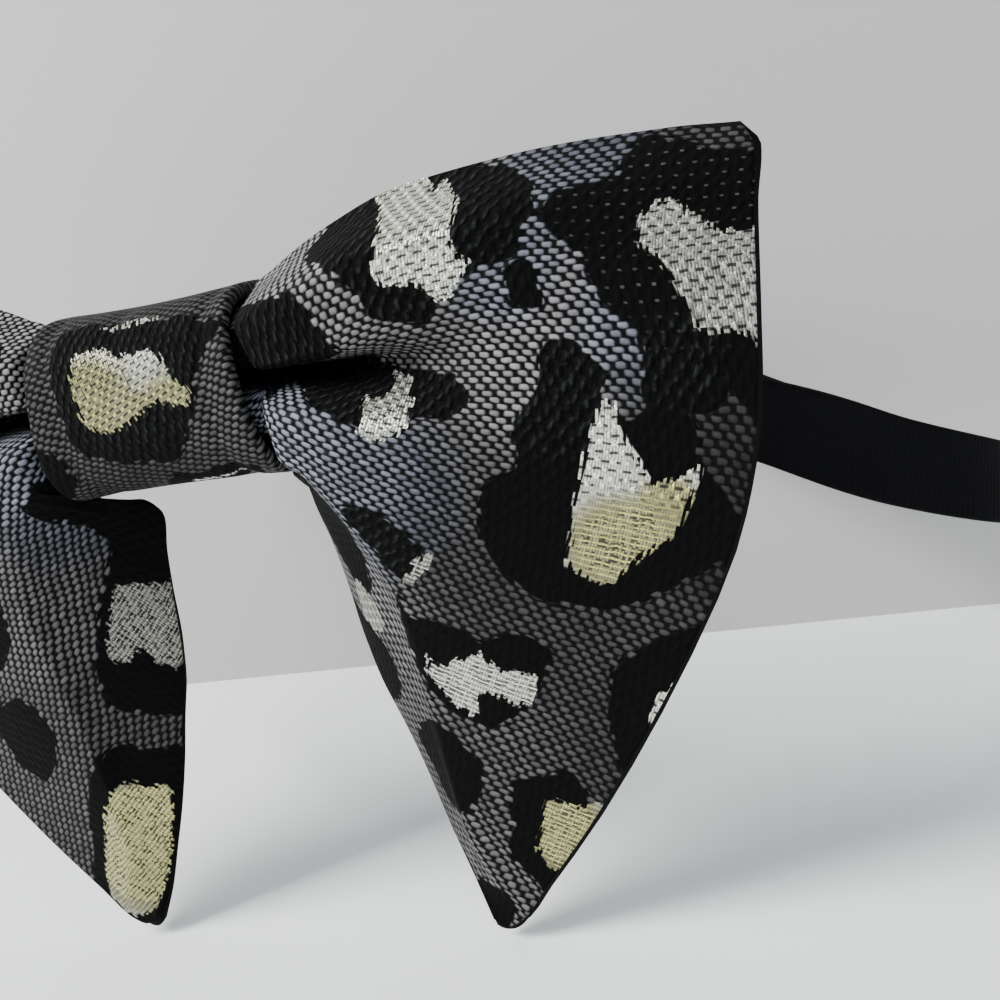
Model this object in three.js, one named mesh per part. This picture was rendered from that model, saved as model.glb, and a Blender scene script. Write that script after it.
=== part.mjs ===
// A pre-tied bow tie: two pointed, pleated wings held by a wrapped knot on a closed neck strap.
// Millimetres. +Z is up, the front of the bow looks along -Y, and X runs along the bow.
// The origin lies at the back of the knot, where it sits against the collar.

import * as THREE from 'three';
import { mergeVertices } from 'three/addons/utils/BufferGeometryUtils.js';

// Wing cloth: an interlined double ply, a little thicker where it is gathered.
const WING_CLOTH_AT_KNOT = 2.1;
const WING_CLOTH_AT_RIM = 1.7;
// Rows of faces along the wing: inside the knot, in the gathers beside it, and out to the rim.
const WING_LENGTHS = [
  { from: 0, to: 0.17, rows: 3 },
  { from: 0.17, to: 0.32, rows: 8 },
  { from: 0.32, to: 1, rows: 15 },
];
// Columns of faces between the wing's borders and fold lines, from the top border to the inner edge.
const WING_STRETCHES = [
  { columns: 6, towardsPleat: 1 },
  { columns: 9, towardsPleat: 0.62 },
  { columns: 9, towardsPleat: 1.6 },
  { columns: 6, towardsPleat: 1 },
  { columns: 8, towardsPleat: 1.3 },
];

// Knot: a band of the same cloth wrapped once round the gathered roots and the strap.
const KNOT_HALF_WIDTH = 13.3;
// How much narrower than this the knot is at its top, and wider at its bottom.
const KNOT_SLANT = 0.8;
const KNOT_BACK_Y = 0;
const KNOT_HALF_DEPTH = 8;
const KNOT_CENTRE_Z = -0.7;
const KNOT_HALF_HEIGHT_MIDDLE = 9.6;
const KNOT_HALF_HEIGHT_RIM = 10;
const KNOT_WALL = 1.6;
const KNOT_FRONT_ROUNDNESS = 2.5;
const KNOT_BACK_ROUNDNESS = 4;
const KNOT_STEPS_ROUND = 44;
const KNOT_STEPS_ALONG = 8;
const KNOT_LIP_STEPS = 3;

// Strap: a flat woven band, a closed loop that passes through the back of the knot.
const STRAP_WIDTH = 10;
const STRAP_THICKNESS = 1.2;
const STRAP_STEPS = 100;

// Clasp: a plain flat sleeve round the strap at the back of the neck.
const CLASP_LENGTH = 13;
const CLASP_WALL = 1.3;
const CLASP_CLEARANCE = 0.35;

// Sections of the wing from its root inside the knot (at 0) to its outer rim (at 1).
// top and edge are the ends of the section: the upper border and the inner, lower border.
// bow is how far the section bows out in X at its roll line, clear of the knot's lip.
// spread is how much of the outer rim's fan shape the section has taken on.
const WING_SECTIONS = [
  { at: 0.0, topX: 1.6, topZ: 6.2, edgeX: 1.6, edgeZ: -7.4, bow: 0, spread: 0.0 },
  { at: 0.17, topX: 12.9, topZ: 7.3, edgeX: 15.2, edgeZ: -8.5, bow: 0, spread: 0.0 },
  { at: 0.2, topX: 13.7, topZ: 8.9, edgeX: 14.8, edgeZ: -11.6, bow: 0.4, spread: 0.03 },
  { at: 0.22, topX: 15.5, topZ: 9.7, edgeX: 10.9, edgeZ: -12.4, bow: 3.0, spread: 0.06 },
  { at: 0.26, topX: 18.6, topZ: 11.2, edgeX: 9.4, edgeZ: -15.0, bow: 3.8, spread: 0.15 },
  { at: 0.32, topX: 22.9, topZ: 12.9, edgeX: 10.4, edgeZ: -19.8, bow: 1.6, spread: 0.32 },
  { at: 0.45, topX: 31.6, topZ: 15.2, edgeX: 12.0, edgeZ: -29.5, bow: 0.4, spread: 0.55 },
  { at: 0.65, topX: 44.6, topZ: 15.8, edgeX: 15.9, edgeZ: -42.5, bow: 0, spread: 0.76 },
  { at: 0.85, topX: 56.5, topZ: 15.2, edgeX: 19.9, edgeZ: -55.8, bow: 0, spread: 0.92 },
  { at: 1.0, topX: 64.2, topZ: 13.9, edgeX: 22.9, edgeZ: -63.3, bow: 0, spread: 1.0 },
];

// Where the four fold lines cross each section, from 0 at the top border to 1 at the inner edge.
const FOLD_LINES = [
  { at: 0.0, upper: 0.2, pleat: 0.45, lower: 0.69, roll: 0.86 },
  { at: 0.17, upper: 0.2, pleat: 0.455, lower: 0.69, roll: 0.86 },
  { at: 0.24, upper: 0.23, pleat: 0.52, lower: 0.67, roll: 0.81 },
  { at: 0.32, upper: 0.27, pleat: 0.56, lower: 0.65, roll: 0.77 },
  { at: 0.45, upper: 0.28, pleat: 0.555, lower: 0.65, roll: 0.79 },
  { at: 0.65, upper: 0.21, pleat: 0.505, lower: 0.66, roll: 0.89 },
  { at: 0.85, upper: 0.19, pleat: 0.47, lower: 0.65, roll: 0.955 },
  { at: 1.0, upper: 0.19, pleat: 0.45, lower: 0.62, roll: 0.96 },
];

// Depth (Y) of the front face along the top border, the fold lines and the inner edge.
// The upper and lower lobes stand forward, the pleat between them is tucked back,
// and the cloth turns over the roll line back to the inner edge.
const FOLD_DEPTHS = [
  { at: 0.0, top: -8.6, upper: -12.7, pleat: -12.2, lower: -13.0, roll: -11.6, edge: -6.3 },
  { at: 0.17, top: -8.6, upper: -13.2, pleat: -12.6, lower: -13.7, roll: -12.6, edge: -6.4 },
  { at: 0.2, top: -8.6, upper: -15.3, pleat: -14.2, lower: -15.2, roll: -13.6, edge: -5.0 },
  { at: 0.22, top: -8.6, upper: -16.0, pleat: -14.8, lower: -16.0, roll: -14.4, edge: -2.9 },
  { at: 0.26, top: -8.5, upper: -16.6, pleat: -15.2, lower: -16.7, roll: -15.1, edge: -1.4 },
  { at: 0.32, top: -8.4, upper: -16.8, pleat: -15.2, lower: -17.0, roll: -15.2, edge: -1.2 },
  { at: 0.45, top: -7.8, upper: -15.6, pleat: -13.4, lower: -15.2, roll: -13.4, edge: -1.0 },
  { at: 0.65, top: -6.5, upper: -11.8, pleat: -10.6, lower: -11.2, roll: -9.0, edge: -1.0 },
  { at: 0.85, top: -5.0, upper: -7.5, pleat: -7.4, lower: -7.0, roll: -6.2, edge: -2.4 },
  { at: 1.0, top: -4.0, upper: -4.3, pleat: -4.5, lower: -4.7, roll: -5.0, edge: -5.0 },
];

// The sharp tuck in the pleat: how much deeper it goes, and its half width.
const TUCK = [
  { at: 0.0, depth: 6.2, width: 0.9 },
  { at: 0.17, depth: 6.8, width: 0.9 },
  { at: 0.22, depth: 8.2, width: 1.0 },
  { at: 0.32, depth: 7.2, width: 1.4 },
  { at: 0.39, depth: 4.4, width: 1.9 },
  { at: 0.47, depth: 1.8, width: 2.6 },
  { at: 0.6, depth: 0.0, width: 4.0 },
  { at: 1.0, depth: 0.0, width: 4.0 },
];
// The tuck is steep under the upper lobe and slopes in more gently over the lower one.
const TUCK_ABOVE = 0.6;
const TUCK_BELOW = 1.4;
// The cloth turns over the roll line in this share of the stretch from there to the inner edge,
// and has sunk by this share of the depth between them.
const ROLL_TURN = 0.25;
const ROLL_SINK = 0.2;
// How far a border of the cloth is rounded out, as a share of half the cloth's thickness.
const BORDER_ROUNDING = 0.8;
// Short steps along and across the wing, from which the direction of its face is worked out.
const REACH_ALONG = 0.004;
const REACH_ACROSS = 0.02;

// Outer rim of the wing, from the upper corner down the side and along the slant to the tip.
const WING_RIM = [
  { at: 0.0, x: 64.2, z: 13.9 },
  { at: 0.04, x: 64.9, z: 12.2 },
  { at: 0.19, x: 64.1, z: 7.0 },
  { at: 0.45, x: 62.6, z: -3.6 },
  { at: 0.54, x: 61.2, z: -12.2 },
  { at: 0.6, x: 58.9, z: -19.4 },
  { at: 0.65, x: 56.1, z: -25.7 },
  { at: 0.71, x: 51.1, z: -33.6 },
  { at: 0.78, x: 44.3, z: -42.9 },
  { at: 0.86, x: 36.4, z: -52.6 },
  { at: 0.92, x: 30.1, z: -59.4 },
  { at: 0.965, x: 26.2, z: -63.5 },
  { at: 0.985, x: 24.4, z: -64.2 },
  { at: 1.0, x: 22.9, z: -63.3 },
];

// The strap's closed route, from the middle of the knot out behind the right wing, round the neck
// and back behind the left wing. The right side hangs lower than the left.
// lean turns the strap about its own line, in degrees.
const STRAP_ROUTE = [
  { x: 0, y: -2.7, z: -0.7, lean: 0 },
  { x: 11, y: -2.7, z: -0.7, lean: 0 },
  { x: 20, y: -1.8, z: -1.6, lean: 0 },
  { x: 38, y: 5, z: -8.0, lean: 16 },
  { x: 54, y: 17, z: -15.4, lean: 34 },
  { x: 67, y: 30, z: -25.0, lean: 4 },
  { x: 76, y: 45, z: -32.0, lean: 0 },
  { x: 75, y: 62, z: -35.5, lean: 0 },
  { x: 66, y: 76, z: -37.0, lean: 0 },
  { x: 55, y: 84, z: -34.5, lean: 0 },
  { x: 40, y: 91, z: -27.5, lean: 0 },
  { x: 20, y: 96, z: -19.0, lean: 0 },
  { x: 0, y: 98, z: -14.0, lean: 0 },
  { x: -25, y: 96, z: -10.0, lean: 0 },
  { x: -50, y: 86, z: -8.0, lean: 0 },
  { x: -69, y: 68, z: -7.0, lean: 0 },
  { x: -75, y: 47, z: -6.5, lean: 0 },
  { x: -69, y: 29, z: -5.5, lean: 0 },
  { x: -55, y: 14, z: -4.0, lean: 0 },
  { x: -38, y: 4, z: -2.5, lean: 0 },
  { x: -20, y: -1.8, z: -1.0, lean: 0 },
  { x: -11, y: -2.7, z: -0.7, lean: 0 },
];
// The row of the route at the back of the neck, where the clasp sits.
const CLASP_ROW = 12;

// Smooth monotone curve through the rows of a table: it never overshoots between two rows.
function readTable(rows, column, at) {
  const last = rows.length - 1;
  let i = 0;
  while (i < last - 1 && at > rows[i + 1].at) i += 1;
  const step = (k) => rows[k + 1].at - rows[k].at;
  const rise = (k) => (rows[k + 1][column] - rows[k][column]) / step(k);
  const slopeAt = (k) => {
    if (k === 0) return rise(0);
    if (k === last) return rise(last - 1);
    const before = rise(k - 1);
    const after = rise(k);
    if (before * after <= 0) return 0;
    const a = 2 * step(k) + step(k - 1);
    const b = step(k) + 2 * step(k - 1);
    return (a + b) / (a / before + b / after);
  };
  const width = step(i);
  const u = (at - rows[i].at) / width;
  const startPull = u * (1 - u) * (1 - u) * width * slopeAt(i);
  const endPull = -u * u * (1 - u) * width * slopeAt(i + 1);
  const blend = u * u * (3 - 2 * u);
  return rows[i][column] * (1 - blend) + rows[i + 1][column] * blend + startPull + endPull;
}

// The wing's front face is addressed by s, from the root to the rim, and by v, which counts the
// fold lines: 0 is the top border, 1 to 4 are the fold lines and 5 is the inner edge.
const FOLD_NAMES = ['upper', 'pleat', 'lower', 'roll'];

// How far across the section a value of v lies, from 0 at the top border to 1 at the inner edge.
function shareAcross(s, v) {
  const lines = FOLD_NAMES.map((name, i) => ({ at: i + 1, share: readTable(FOLD_LINES, name, s) }));
  const ends = [{ at: 0, share: 0 }, { at: WING_STRETCHES.length, share: 1 }];
  return readTable([ends[0], ...lines, ends[1]], 'share', v);
}

// Straight length of a section from its top border to its inner edge.
function sectionLength(s) {
  const width = readTable(WING_SECTIONS, 'topX', s) - readTable(WING_SECTIONS, 'edgeX', s);
  const height = readTable(WING_SECTIONS, 'topZ', s) - readTable(WING_SECTIONS, 'edgeZ', s);
  return Math.hypot(width, height);
}

// Depth of the front face: a smooth curve over the fold lines, with the tuck added as a bell.
function wingDepth(s, t) {
  const depth = (column) => readTable(FOLD_DEPTHS, column, s);
  const line = (column) => readTable(FOLD_LINES, column, s);
  const profile = FOLD_NAMES.map((name) => ({ at: line(name), depth: depth(name) }));
  const turned = {
    at: THREE.MathUtils.lerp(line('roll'), 1, ROLL_TURN),
    depth: THREE.MathUtils.lerp(depth('roll'), depth('edge'), ROLL_SINK),
  };
  const rows = [{ at: 0, depth: depth('top') }, ...profile, turned, { at: 1, depth: depth('edge') }];
  const fromPleat = (t - line('pleat')) * sectionLength(s);
  const side = fromPleat < 0 ? TUCK_ABOVE : TUCK_BELOW;
  const offset = fromPleat / (readTable(TUCK, 'width', s) * side);
  return readTable(rows, 'depth', t) + readTable(TUCK, 'depth', s) * Math.exp(-offset * offset);
}

// A point of the front face: the straight section between its two borders,
// pushed out by its share of the bulge of the outer rim.
function wingPoint(s, v) {
  const t = shareAcross(s, v);
  const section = (column) => readTable(WING_SECTIONS, column, s);
  const rimStart = WING_RIM[0];
  const rimEnd = WING_RIM[WING_RIM.length - 1];
  const bulgeX = readTable(WING_RIM, 'x', t) - THREE.MathUtils.lerp(rimStart.x, rimEnd.x, t);
  const bulgeZ = readTable(WING_RIM, 'z', t) - THREE.MathUtils.lerp(rimStart.z, rimEnd.z, t);
  const roll = readTable(FOLD_LINES, 'roll', s);
  const bow = readTable([{ at: 0, out: 0 }, { at: roll, out: 1 }, { at: 1, out: 0 }], 'out', t);
  const straightX = THREE.MathUtils.lerp(section('topX'), section('edgeX'), t);
  const x = straightX + section('bow') * bow + section('spread') * bulgeX;
  const z = THREE.MathUtils.lerp(section('topZ'), section('edgeZ'), t) + section('spread') * bulgeZ;
  return new THREE.Vector3(x, wingDepth(s, t), z);
}

// The direction straight out of the front face, from two short steps along the surface.
function wingNormal(s, v) {
  const outward = wingPoint(Math.min(1, s + REACH_ALONG), v);
  const inward = wingPoint(Math.max(0, s - REACH_ALONG), v);
  const below = wingPoint(s, Math.min(WING_STRETCHES.length, v + REACH_ACROSS));
  const above = wingPoint(s, Math.max(0, v - REACH_ACROSS));
  return below.sub(above).cross(outward.sub(inward)).normalize();
}

// The values of v at which the wing's columns of points lie, closer together near the pleat.
function columnPlaces() {
  const places = WING_STRETCHES.flatMap(({ columns, towardsPleat }, k) => {
    const steps = Array.from({ length: columns }, (_, i) => i / columns);
    return steps.map((u) => k + u ** towardsPleat);
  });
  return [...places, WING_STRETCHES.length];
}

// Closes two grids of points, front and back, into one body with a rounded border.
// Each grid is a list of rows; the border gets one line of points half-way round its edge.
function closeSheet(front, back) {
  const rows = front.length;
  const columns = front[0].length;
  const positions = [];
  const indices = [];
  const add = (point) => positions.push(point.x, point.y, point.z) / 3 - 1;
  const quad = (a, b, c, d) => indices.push(a, b, c, a, c, d);
  const frontIds = front.map((row) => row.map(add));
  const backIds = back.map((row) => row.map(add));
  for (let i = 0; i < rows - 1; i += 1) {
    for (let j = 0; j < columns - 1; j += 1) {
      quad(frontIds[i][j], frontIds[i][j + 1], frontIds[i + 1][j + 1], frontIds[i + 1][j]);
      quad(backIds[i][j], backIds[i + 1][j], backIds[i + 1][j + 1], backIds[i][j + 1]);
    }
  }
  const border = [];
  for (let j = 0; j < columns - 1; j += 1) border.push([0, j, 1, 0]);
  for (let i = 0; i < rows - 1; i += 1) border.push([i, columns - 1, 0, -1]);
  for (let j = columns - 1; j > 0; j -= 1) border.push([rows - 1, j, -1, 0]);
  for (let i = rows - 1; i > 0; i -= 1) border.push([i, 0, 0, 1]);
  const middle = border.map(([i, j, inI, inJ]) => {
    const centre = front[i][j].clone().add(back[i][j]).multiplyScalar(0.5);
    const inner = front[i + inI][j + inJ].clone().add(back[i + inI][j + inJ]).multiplyScalar(0.5);
    const outward = centre.clone().sub(inner).normalize();
    const half = front[i][j].distanceTo(back[i][j]) / 2;
    return add(centre.addScaledVector(outward, half * BORDER_ROUNDING));
  });
  for (let k = 0; k < border.length; k += 1) {
    const next = (k + 1) % border.length;
    const [i, j] = border[k];
    const [ni, nj] = border[next];
    quad(frontIds[ni][nj], frontIds[i][j], middle[k], middle[next]);
    quad(middle[next], middle[k], backIds[i][j], backIds[ni][nj]);
  }
  const geometry = new THREE.BufferGeometry();
  geometry.setAttribute('position', new THREE.Float32BufferAttribute(positions, 3));
  geometry.setIndex(indices);
  return geometry;
}

// The values of s at which the wing's rows of points lie.
function rowPlaces() {
  const places = WING_LENGTHS.flatMap(({ from, to, rows }) => {
    return Array.from({ length: rows }, (_, i) => THREE.MathUtils.lerp(from, to, i / rows));
  });
  return [...places, 1];
}

// Right wing: the cloth's front face, and its back face one cloth thickness behind it.
function makeWing() {
  const places = columnPlaces();
  const front = [];
  const back = [];
  for (const s of rowPlaces()) {
    const cloth = THREE.MathUtils.lerp(WING_CLOTH_AT_KNOT, WING_CLOTH_AT_RIM, s);
    front.push(places.map((v) => wingPoint(s, v)));
    back.push(places.map((v) => wingPoint(s, v).addScaledVector(wingNormal(s, v), -cloth)));
  }
  return closeSheet(front, back);
}

// The other hand of a piece: mirrored across the middle of the bow, with its faces turned back out.
function mirrorAcrossMiddle(geometry) {
  const mirrored = geometry.clone();
  mirrored.scale(-1, 1, 1);
  const index = mirrored.getIndex().array;
  for (let i = 0; i < index.length; i += 3) {
    const first = index[i];
    index[i] = index[i + 1];
    index[i + 1] = first;
  }
  return mirrored;
}

// A point of the knot's section: a rounded oblong, flat at the back and fuller at the front.
// The knot is a little higher at its two rims, and its rims slant out towards the bottom.
function knotPoint(x, angle, inset) {
  const share = x / KNOT_HALF_WIDTH;
  const halfHeight = THREE.MathUtils.lerp(KNOT_HALF_HEIGHT_MIDDLE, KNOT_HALF_HEIGHT_RIM, share * share);
  const forward = Math.cos(angle);
  const upward = Math.sin(angle);
  const power = 2 / (forward > 0 ? KNOT_FRONT_ROUNDNESS : KNOT_BACK_ROUNDNESS);
  const depth = Math.sign(forward) * Math.abs(forward) ** power * (KNOT_HALF_DEPTH - inset);
  const height = Math.sign(upward) * Math.abs(upward) ** power * (halfHeight - inset);
  const slanted = x - (share * KNOT_SLANT * height) / halfHeight;
  return new THREE.Vector3(slanted, KNOT_BACK_Y - KNOT_HALF_DEPTH - depth, KNOT_CENTRE_Z + height);
}

// Knot band: the wall's own section, out along the outside, round the lip and back along the
// inside, carried once round the knot.
function makeKnot() {
  const wallSection = [];
  const straight = KNOT_HALF_WIDTH - KNOT_WALL / 2;
  for (let i = 0; i <= KNOT_STEPS_ALONG; i += 1) {
    wallSection.push({ x: THREE.MathUtils.lerp(-straight, straight, i / KNOT_STEPS_ALONG), inset: 0 });
  }
  for (let i = 1; i < KNOT_LIP_STEPS + 1; i += 1) {
    const turn = (Math.PI * i) / (KNOT_LIP_STEPS + 1);
    wallSection.push({
      x: straight + Math.sin(turn) * (KNOT_WALL / 2),
      inset: (1 - Math.cos(turn)) * (KNOT_WALL / 2),
    });
  }
  for (let i = 0; i <= KNOT_STEPS_ALONG; i += 1) {
    const x = THREE.MathUtils.lerp(straight, -straight, i / KNOT_STEPS_ALONG);
    wallSection.push({ x, inset: KNOT_WALL });
  }
  for (let i = KNOT_LIP_STEPS; i > 0; i -= 1) {
    const turn = (Math.PI * i) / (KNOT_LIP_STEPS + 1);
    wallSection.push({
      x: -straight - Math.sin(turn) * (KNOT_WALL / 2),
      inset: (1 - Math.cos(turn)) * (KNOT_WALL / 2),
    });
  }
  const rings = [];
  for (let k = 0; k < KNOT_STEPS_ROUND; k += 1) {
    const angle = (2 * Math.PI * (k + 0.5)) / KNOT_STEPS_ROUND;
    rings.push(wallSection.map(({ x, inset }) => knotPoint(x, angle, inset)));
  }
  return closeTorus(rings);
}

// Joins closed rings of points into one ring-shaped body.
function closeTorus(rings) {
  const size = rings[0].length;
  const positions = rings.flat().flatMap((point) => [point.x, point.y, point.z]);
  const indices = [];
  for (let k = 0; k < rings.length; k += 1) {
    const next = (k + 1) % rings.length;
    for (let i = 0; i < size; i += 1) {
      const j = (i + 1) % size;
      const a = k * size + i;
      const b = k * size + j;
      const c = next * size + j;
      const d = next * size + i;
      indices.push(a, b, c, a, c, d);
    }
  }
  const geometry = new THREE.BufferGeometry();
  geometry.setAttribute('position', new THREE.Float32BufferAttribute(positions, 3));
  geometry.setIndex(indices);
  return geometry;
}

const strapPoints = STRAP_ROUTE.map(({ x, y, z }) => new THREE.Vector3(x, y, z));
const strapCurve = new THREE.CatmullRomCurve3(strapPoints, true, 'centripetal');

// Where the strap is at a share of its route, and which way it runs, stands and faces there.
function strapFrame(place) {
  const leans = [...STRAP_ROUTE, STRAP_ROUTE[0]].map(({ lean }, at) => ({ at, lean }));
  const lean = THREE.MathUtils.degToRad(readTable(leans, 'lean', place * STRAP_ROUTE.length));
  const tangent = strapCurve.getTangent(place);
  const up = new THREE.Vector3(0, 0, 1).addScaledVector(tangent, -tangent.z).normalize();
  up.applyAxisAngle(tangent, lean);
  const out = new THREE.Vector3().crossVectors(tangent, up);
  return { centre: strapCurve.getPoint(place), tangent, up, out };
}

// Strap: its flat section carried along the closed route.
function makeStrap() {
  const rings = [];
  for (let k = 0; k < STRAP_STEPS; k += 1) {
    const { centre, up, out } = strapFrame(strapCurve.getUtoTmapping(k / STRAP_STEPS));
    const corner = (across, through) => centre.clone()
      .addScaledVector(up, across * (STRAP_WIDTH / 2))
      .addScaledVector(out, through * (STRAP_THICKNESS / 2));
    rings.push([corner(-1, -1), corner(1, -1), corner(1, 1), corner(-1, 1)]);
  }
  return closeTorus(rings);
}

// Clasp: a flat sleeve with a slot through it, the strap running through the slot.
function makeClasp() {
  const slotHeight = STRAP_WIDTH / 2 + CLASP_CLEARANCE;
  const slotDepth = STRAP_THICKNESS / 2 + CLASP_CLEARANCE;
  const outside = new THREE.Shape();
  const height = slotHeight + CLASP_WALL;
  const depth = slotDepth + CLASP_WALL;
  outside.moveTo(-depth, -height).lineTo(depth, -height).lineTo(depth, height).lineTo(-depth, height);
  outside.closePath();
  const slot = new THREE.Path();
  slot.moveTo(-slotDepth, -slotHeight).lineTo(-slotDepth, slotHeight).lineTo(slotDepth, slotHeight);
  slot.lineTo(slotDepth, -slotHeight).closePath();
  outside.holes.push(slot);
  const geometry = new THREE.ExtrudeGeometry(outside, { depth: CLASP_LENGTH, bevelEnabled: false });
  geometry.translate(0, 0, -CLASP_LENGTH / 2);
  geometry.deleteAttribute('normal');
  geometry.deleteAttribute('uv');
  return mergeVertices(geometry);
}

function piece(name, geometry, colour, roughness, metalness) {
  geometry.computeVertexNormals();
  const material = new THREE.MeshStandardMaterial({ color: colour, roughness, metalness });
  const mesh = new THREE.Mesh(geometry, material);
  mesh.name = name;
  return mesh;
}

const CLOTH_GREY = 0x4a4a52;
const STRAP_BLACK = 0x0b0b0d;
const CLASP_BLACK = 0x16161a;

const bowTie = new THREE.Group();
const rightWing = makeWing();
bowTie.add(piece('wing_right', rightWing, CLOTH_GREY, 0.75, 0.1));
bowTie.add(piece('wing_left', mirrorAcrossMiddle(rightWing), CLOTH_GREY, 0.75, 0.1));
bowTie.add(piece('knot_band', makeKnot(), CLOTH_GREY, 0.75, 0.1));
bowTie.add(piece('neck_strap', makeStrap(), STRAP_BLACK, 0.9, 0));

const clasp = piece('strap_clasp', makeClasp(), CLASP_BLACK, 0.45, 0);
const seat = strapFrame(CLASP_ROW / STRAP_ROUTE.length);
clasp.position.copy(seat.centre);
const alongStrap = new THREE.Matrix4().makeBasis(seat.out, seat.up, seat.tangent.clone().negate());
clasp.quaternion.setFromRotationMatrix(alongStrap);
bowTie.add(clasp);

export default bowTie;
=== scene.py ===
import math

import bpy
import numpy as np
from mathutils import Matrix, Vector


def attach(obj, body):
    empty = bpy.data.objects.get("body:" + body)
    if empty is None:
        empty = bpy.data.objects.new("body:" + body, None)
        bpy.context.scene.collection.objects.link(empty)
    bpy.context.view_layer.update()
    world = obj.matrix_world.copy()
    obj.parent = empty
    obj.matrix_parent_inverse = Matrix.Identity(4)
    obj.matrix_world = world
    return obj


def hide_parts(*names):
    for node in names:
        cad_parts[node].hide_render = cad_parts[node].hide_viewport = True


# Pre-tied bow tie. Lengths are in millimetres until a mesh is made, and in metres from there on.
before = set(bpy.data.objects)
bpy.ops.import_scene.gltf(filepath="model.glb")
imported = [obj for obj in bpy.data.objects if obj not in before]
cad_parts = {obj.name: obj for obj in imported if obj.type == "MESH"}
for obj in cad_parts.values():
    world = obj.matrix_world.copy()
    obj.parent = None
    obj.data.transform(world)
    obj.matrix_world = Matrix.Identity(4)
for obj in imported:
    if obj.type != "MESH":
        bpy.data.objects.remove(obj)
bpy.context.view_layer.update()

MM = 0.001

# Camera: where it stands, and the directions of its right, its top and its view, from the photo.
# Its nearest visible distance is in metres.
CAMERA_AT = (96.74, -140.01, 9.16)
CAMERA_RIGHT = (0.90255, 0.38234, -0.19802)
CAMERA_TOP = (0.11035, 0.23914, 0.96469)
CAMERA_VIEW = (-0.41620, 0.89254, -0.17365)
LENS = 54.0
FILM = 36.0
NEAREST = 0.01

# The wing's own numbers, as in the part's source; the turned-back strip lies a little flatter here.
TUCK_ABOVE = 0.6
TUCK_BELOW = 1.4
ROLL_TURN = 0.25
ROLL_SINK = 0.28

# Along the wing: where the knot's rim crosses it, and where its gathers end.
RIM_AT = 0.17
GATHERS_TO = 0.32

# Rows of points along the wing (inside the knot, in the gathers, out to the rim): start, end and
# steps. Columns between its fold lines: steps, and the power that gathers them towards the pleat.
WING_ROWS = ((0.0, RIM_AT, 8), (RIM_AT, GATHERS_TO, 56), (GATHERS_TO, 1.0, 116))
WING_COLUMNS = ((28, 1.0), (58, 0.62), (52, 1.6), (30, 1.0), (44, 1.3))
LINING_SKIP = 3

# The coarse grid of the wing that is laid flat, the rounds this takes, and the limits of the
# cotangents that weigh its edges.
FLAT_ROWS = ((RIM_AT, GATHERS_TO, 11), (GATHERS_TO, 1.0, 21))
FLAT_COLUMNS = ((7, 1.0), (12, 0.7), (12, 1.4), (7, 1.0), (8, 1.0))
FLAT_ROUNDS = 60
COTANGENT_LIMITS = (0.02, 20)
# The flat cloth is turned so that its rows run level. This is where its top outer corner lies.
CLOTH_TURN = math.radians(12.98)
CLOTH_CORNER = (10.99, 35.29)

# Layers of the wing: the patterned cloth in front and the plain lining behind it. Rounding and
# reach say how far a border is pushed out, as a share of half the layer's thickness.
CLOTH_THICKNESS = 0.95
LINING_THICKNESS = 0.7
LAYER_GAP = 0.05
CLOTH_ROUNDING = 0.2
LINING_REACH = 1.9
# The lining is turned over the inner edge: places along the wing, and its width there.
EDGING = ((0.2, 0.5, 1.0), (1.1, 0.7, 0.4))
# The cloth's edge and its back are black, as deep inside a spot and as far from any metal.
SEWN_EDGE = {"spot": -9.0, "metal": 9.0}

# The pleat's number among the fold lines. The dots get painted shade in the depth of its tuck: how
# far out along the wing, how far to each side, and depths with the share of light that is left there.
PLEAT_LINE = 2
TUCK_DARK_TO = 0.36
TUCK_DARK_SIDE = 0.7
TUCK_DARKNESS = ((-13.0, -9.0), (1.0, 0.03))
# The dots right beside the knot in the pleat get painted shade: how far out, their middle across,
# side and light.
SHADED_TO = 0.21
SHADED_MIDDLE = 2.1
SHADED_SIDE = 0.35
SHADED_LIGHT = 0.02

# Knot: a wrapped band. Half width, half depth and half heights of its outside, and its wall.
KNOT_HALF_WIDTH = 13.3
KNOT_SLANT = 0.8
KNOT_HALF_DEPTH = 8.0
KNOT_CENTRE_Z = -0.7
KNOT_HALF_HEIGHT_MIDDLE = 9.6
KNOT_HALF_HEIGHT_RIM = 10.0
KNOT_WALL = 1.6
KNOT_FRONT_ROUNDNESS = 2.5
KNOT_BACK_ROUNDNESS = 4.0
# Points round the knot, and across its wall and round each lip.
KNOT_RINGS = 220
KNOT_STEPS = (70, 7)
# Shallow creases: middle across the bow, its shift for each mm upwards, depth and half width.
# They fade out towards the knot's top and bottom, the faster the higher the fade.
KNOT_CREASES = [(9.6, 0.10, 0.40, 1.0), (-9.6, -0.10, 0.40, 1.0), (3.0, -0.55, 0.18, 1.6),
                (-4.5, 0.35, 0.16, 1.4)]
CREASE_FADE = 4
# The gathered cloth of the knot shows its dots closer together by this factor.
KNOT_GATHER = 1.2

# Strap and clasp. The clasp sits at one row of the strap's route.
STRAP_WIDTH = 10.0
STRAP_THICKNESS = 1.2
STRAP_EDGE_RADIUS = 0.45
CLASP_ROW = 12
CLASP_LENGTH = 13.0
CLASP_WALL = 1.3
CLASP_CLEARANCE = 0.35
CLASP_CORNER = 1.6
# Points in each stretch of the strap's route, along the clasp and round its lips, and in a corner
# and a side of either one's section.
STRAP_STEPS = 24
CLASP_STEPS = (6, 5)
STRAP_SECTION = (4, 10)
CLASP_SECTION = (5, 6)

# Spots of the pattern: points in each stretch of an outline, how far beyond it distances are
# worked out, and the distance that stands for all places farther away.
OUTLINE_STEPS = 4
SPOT_MARGIN = 3
FAR = 30.0
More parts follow.
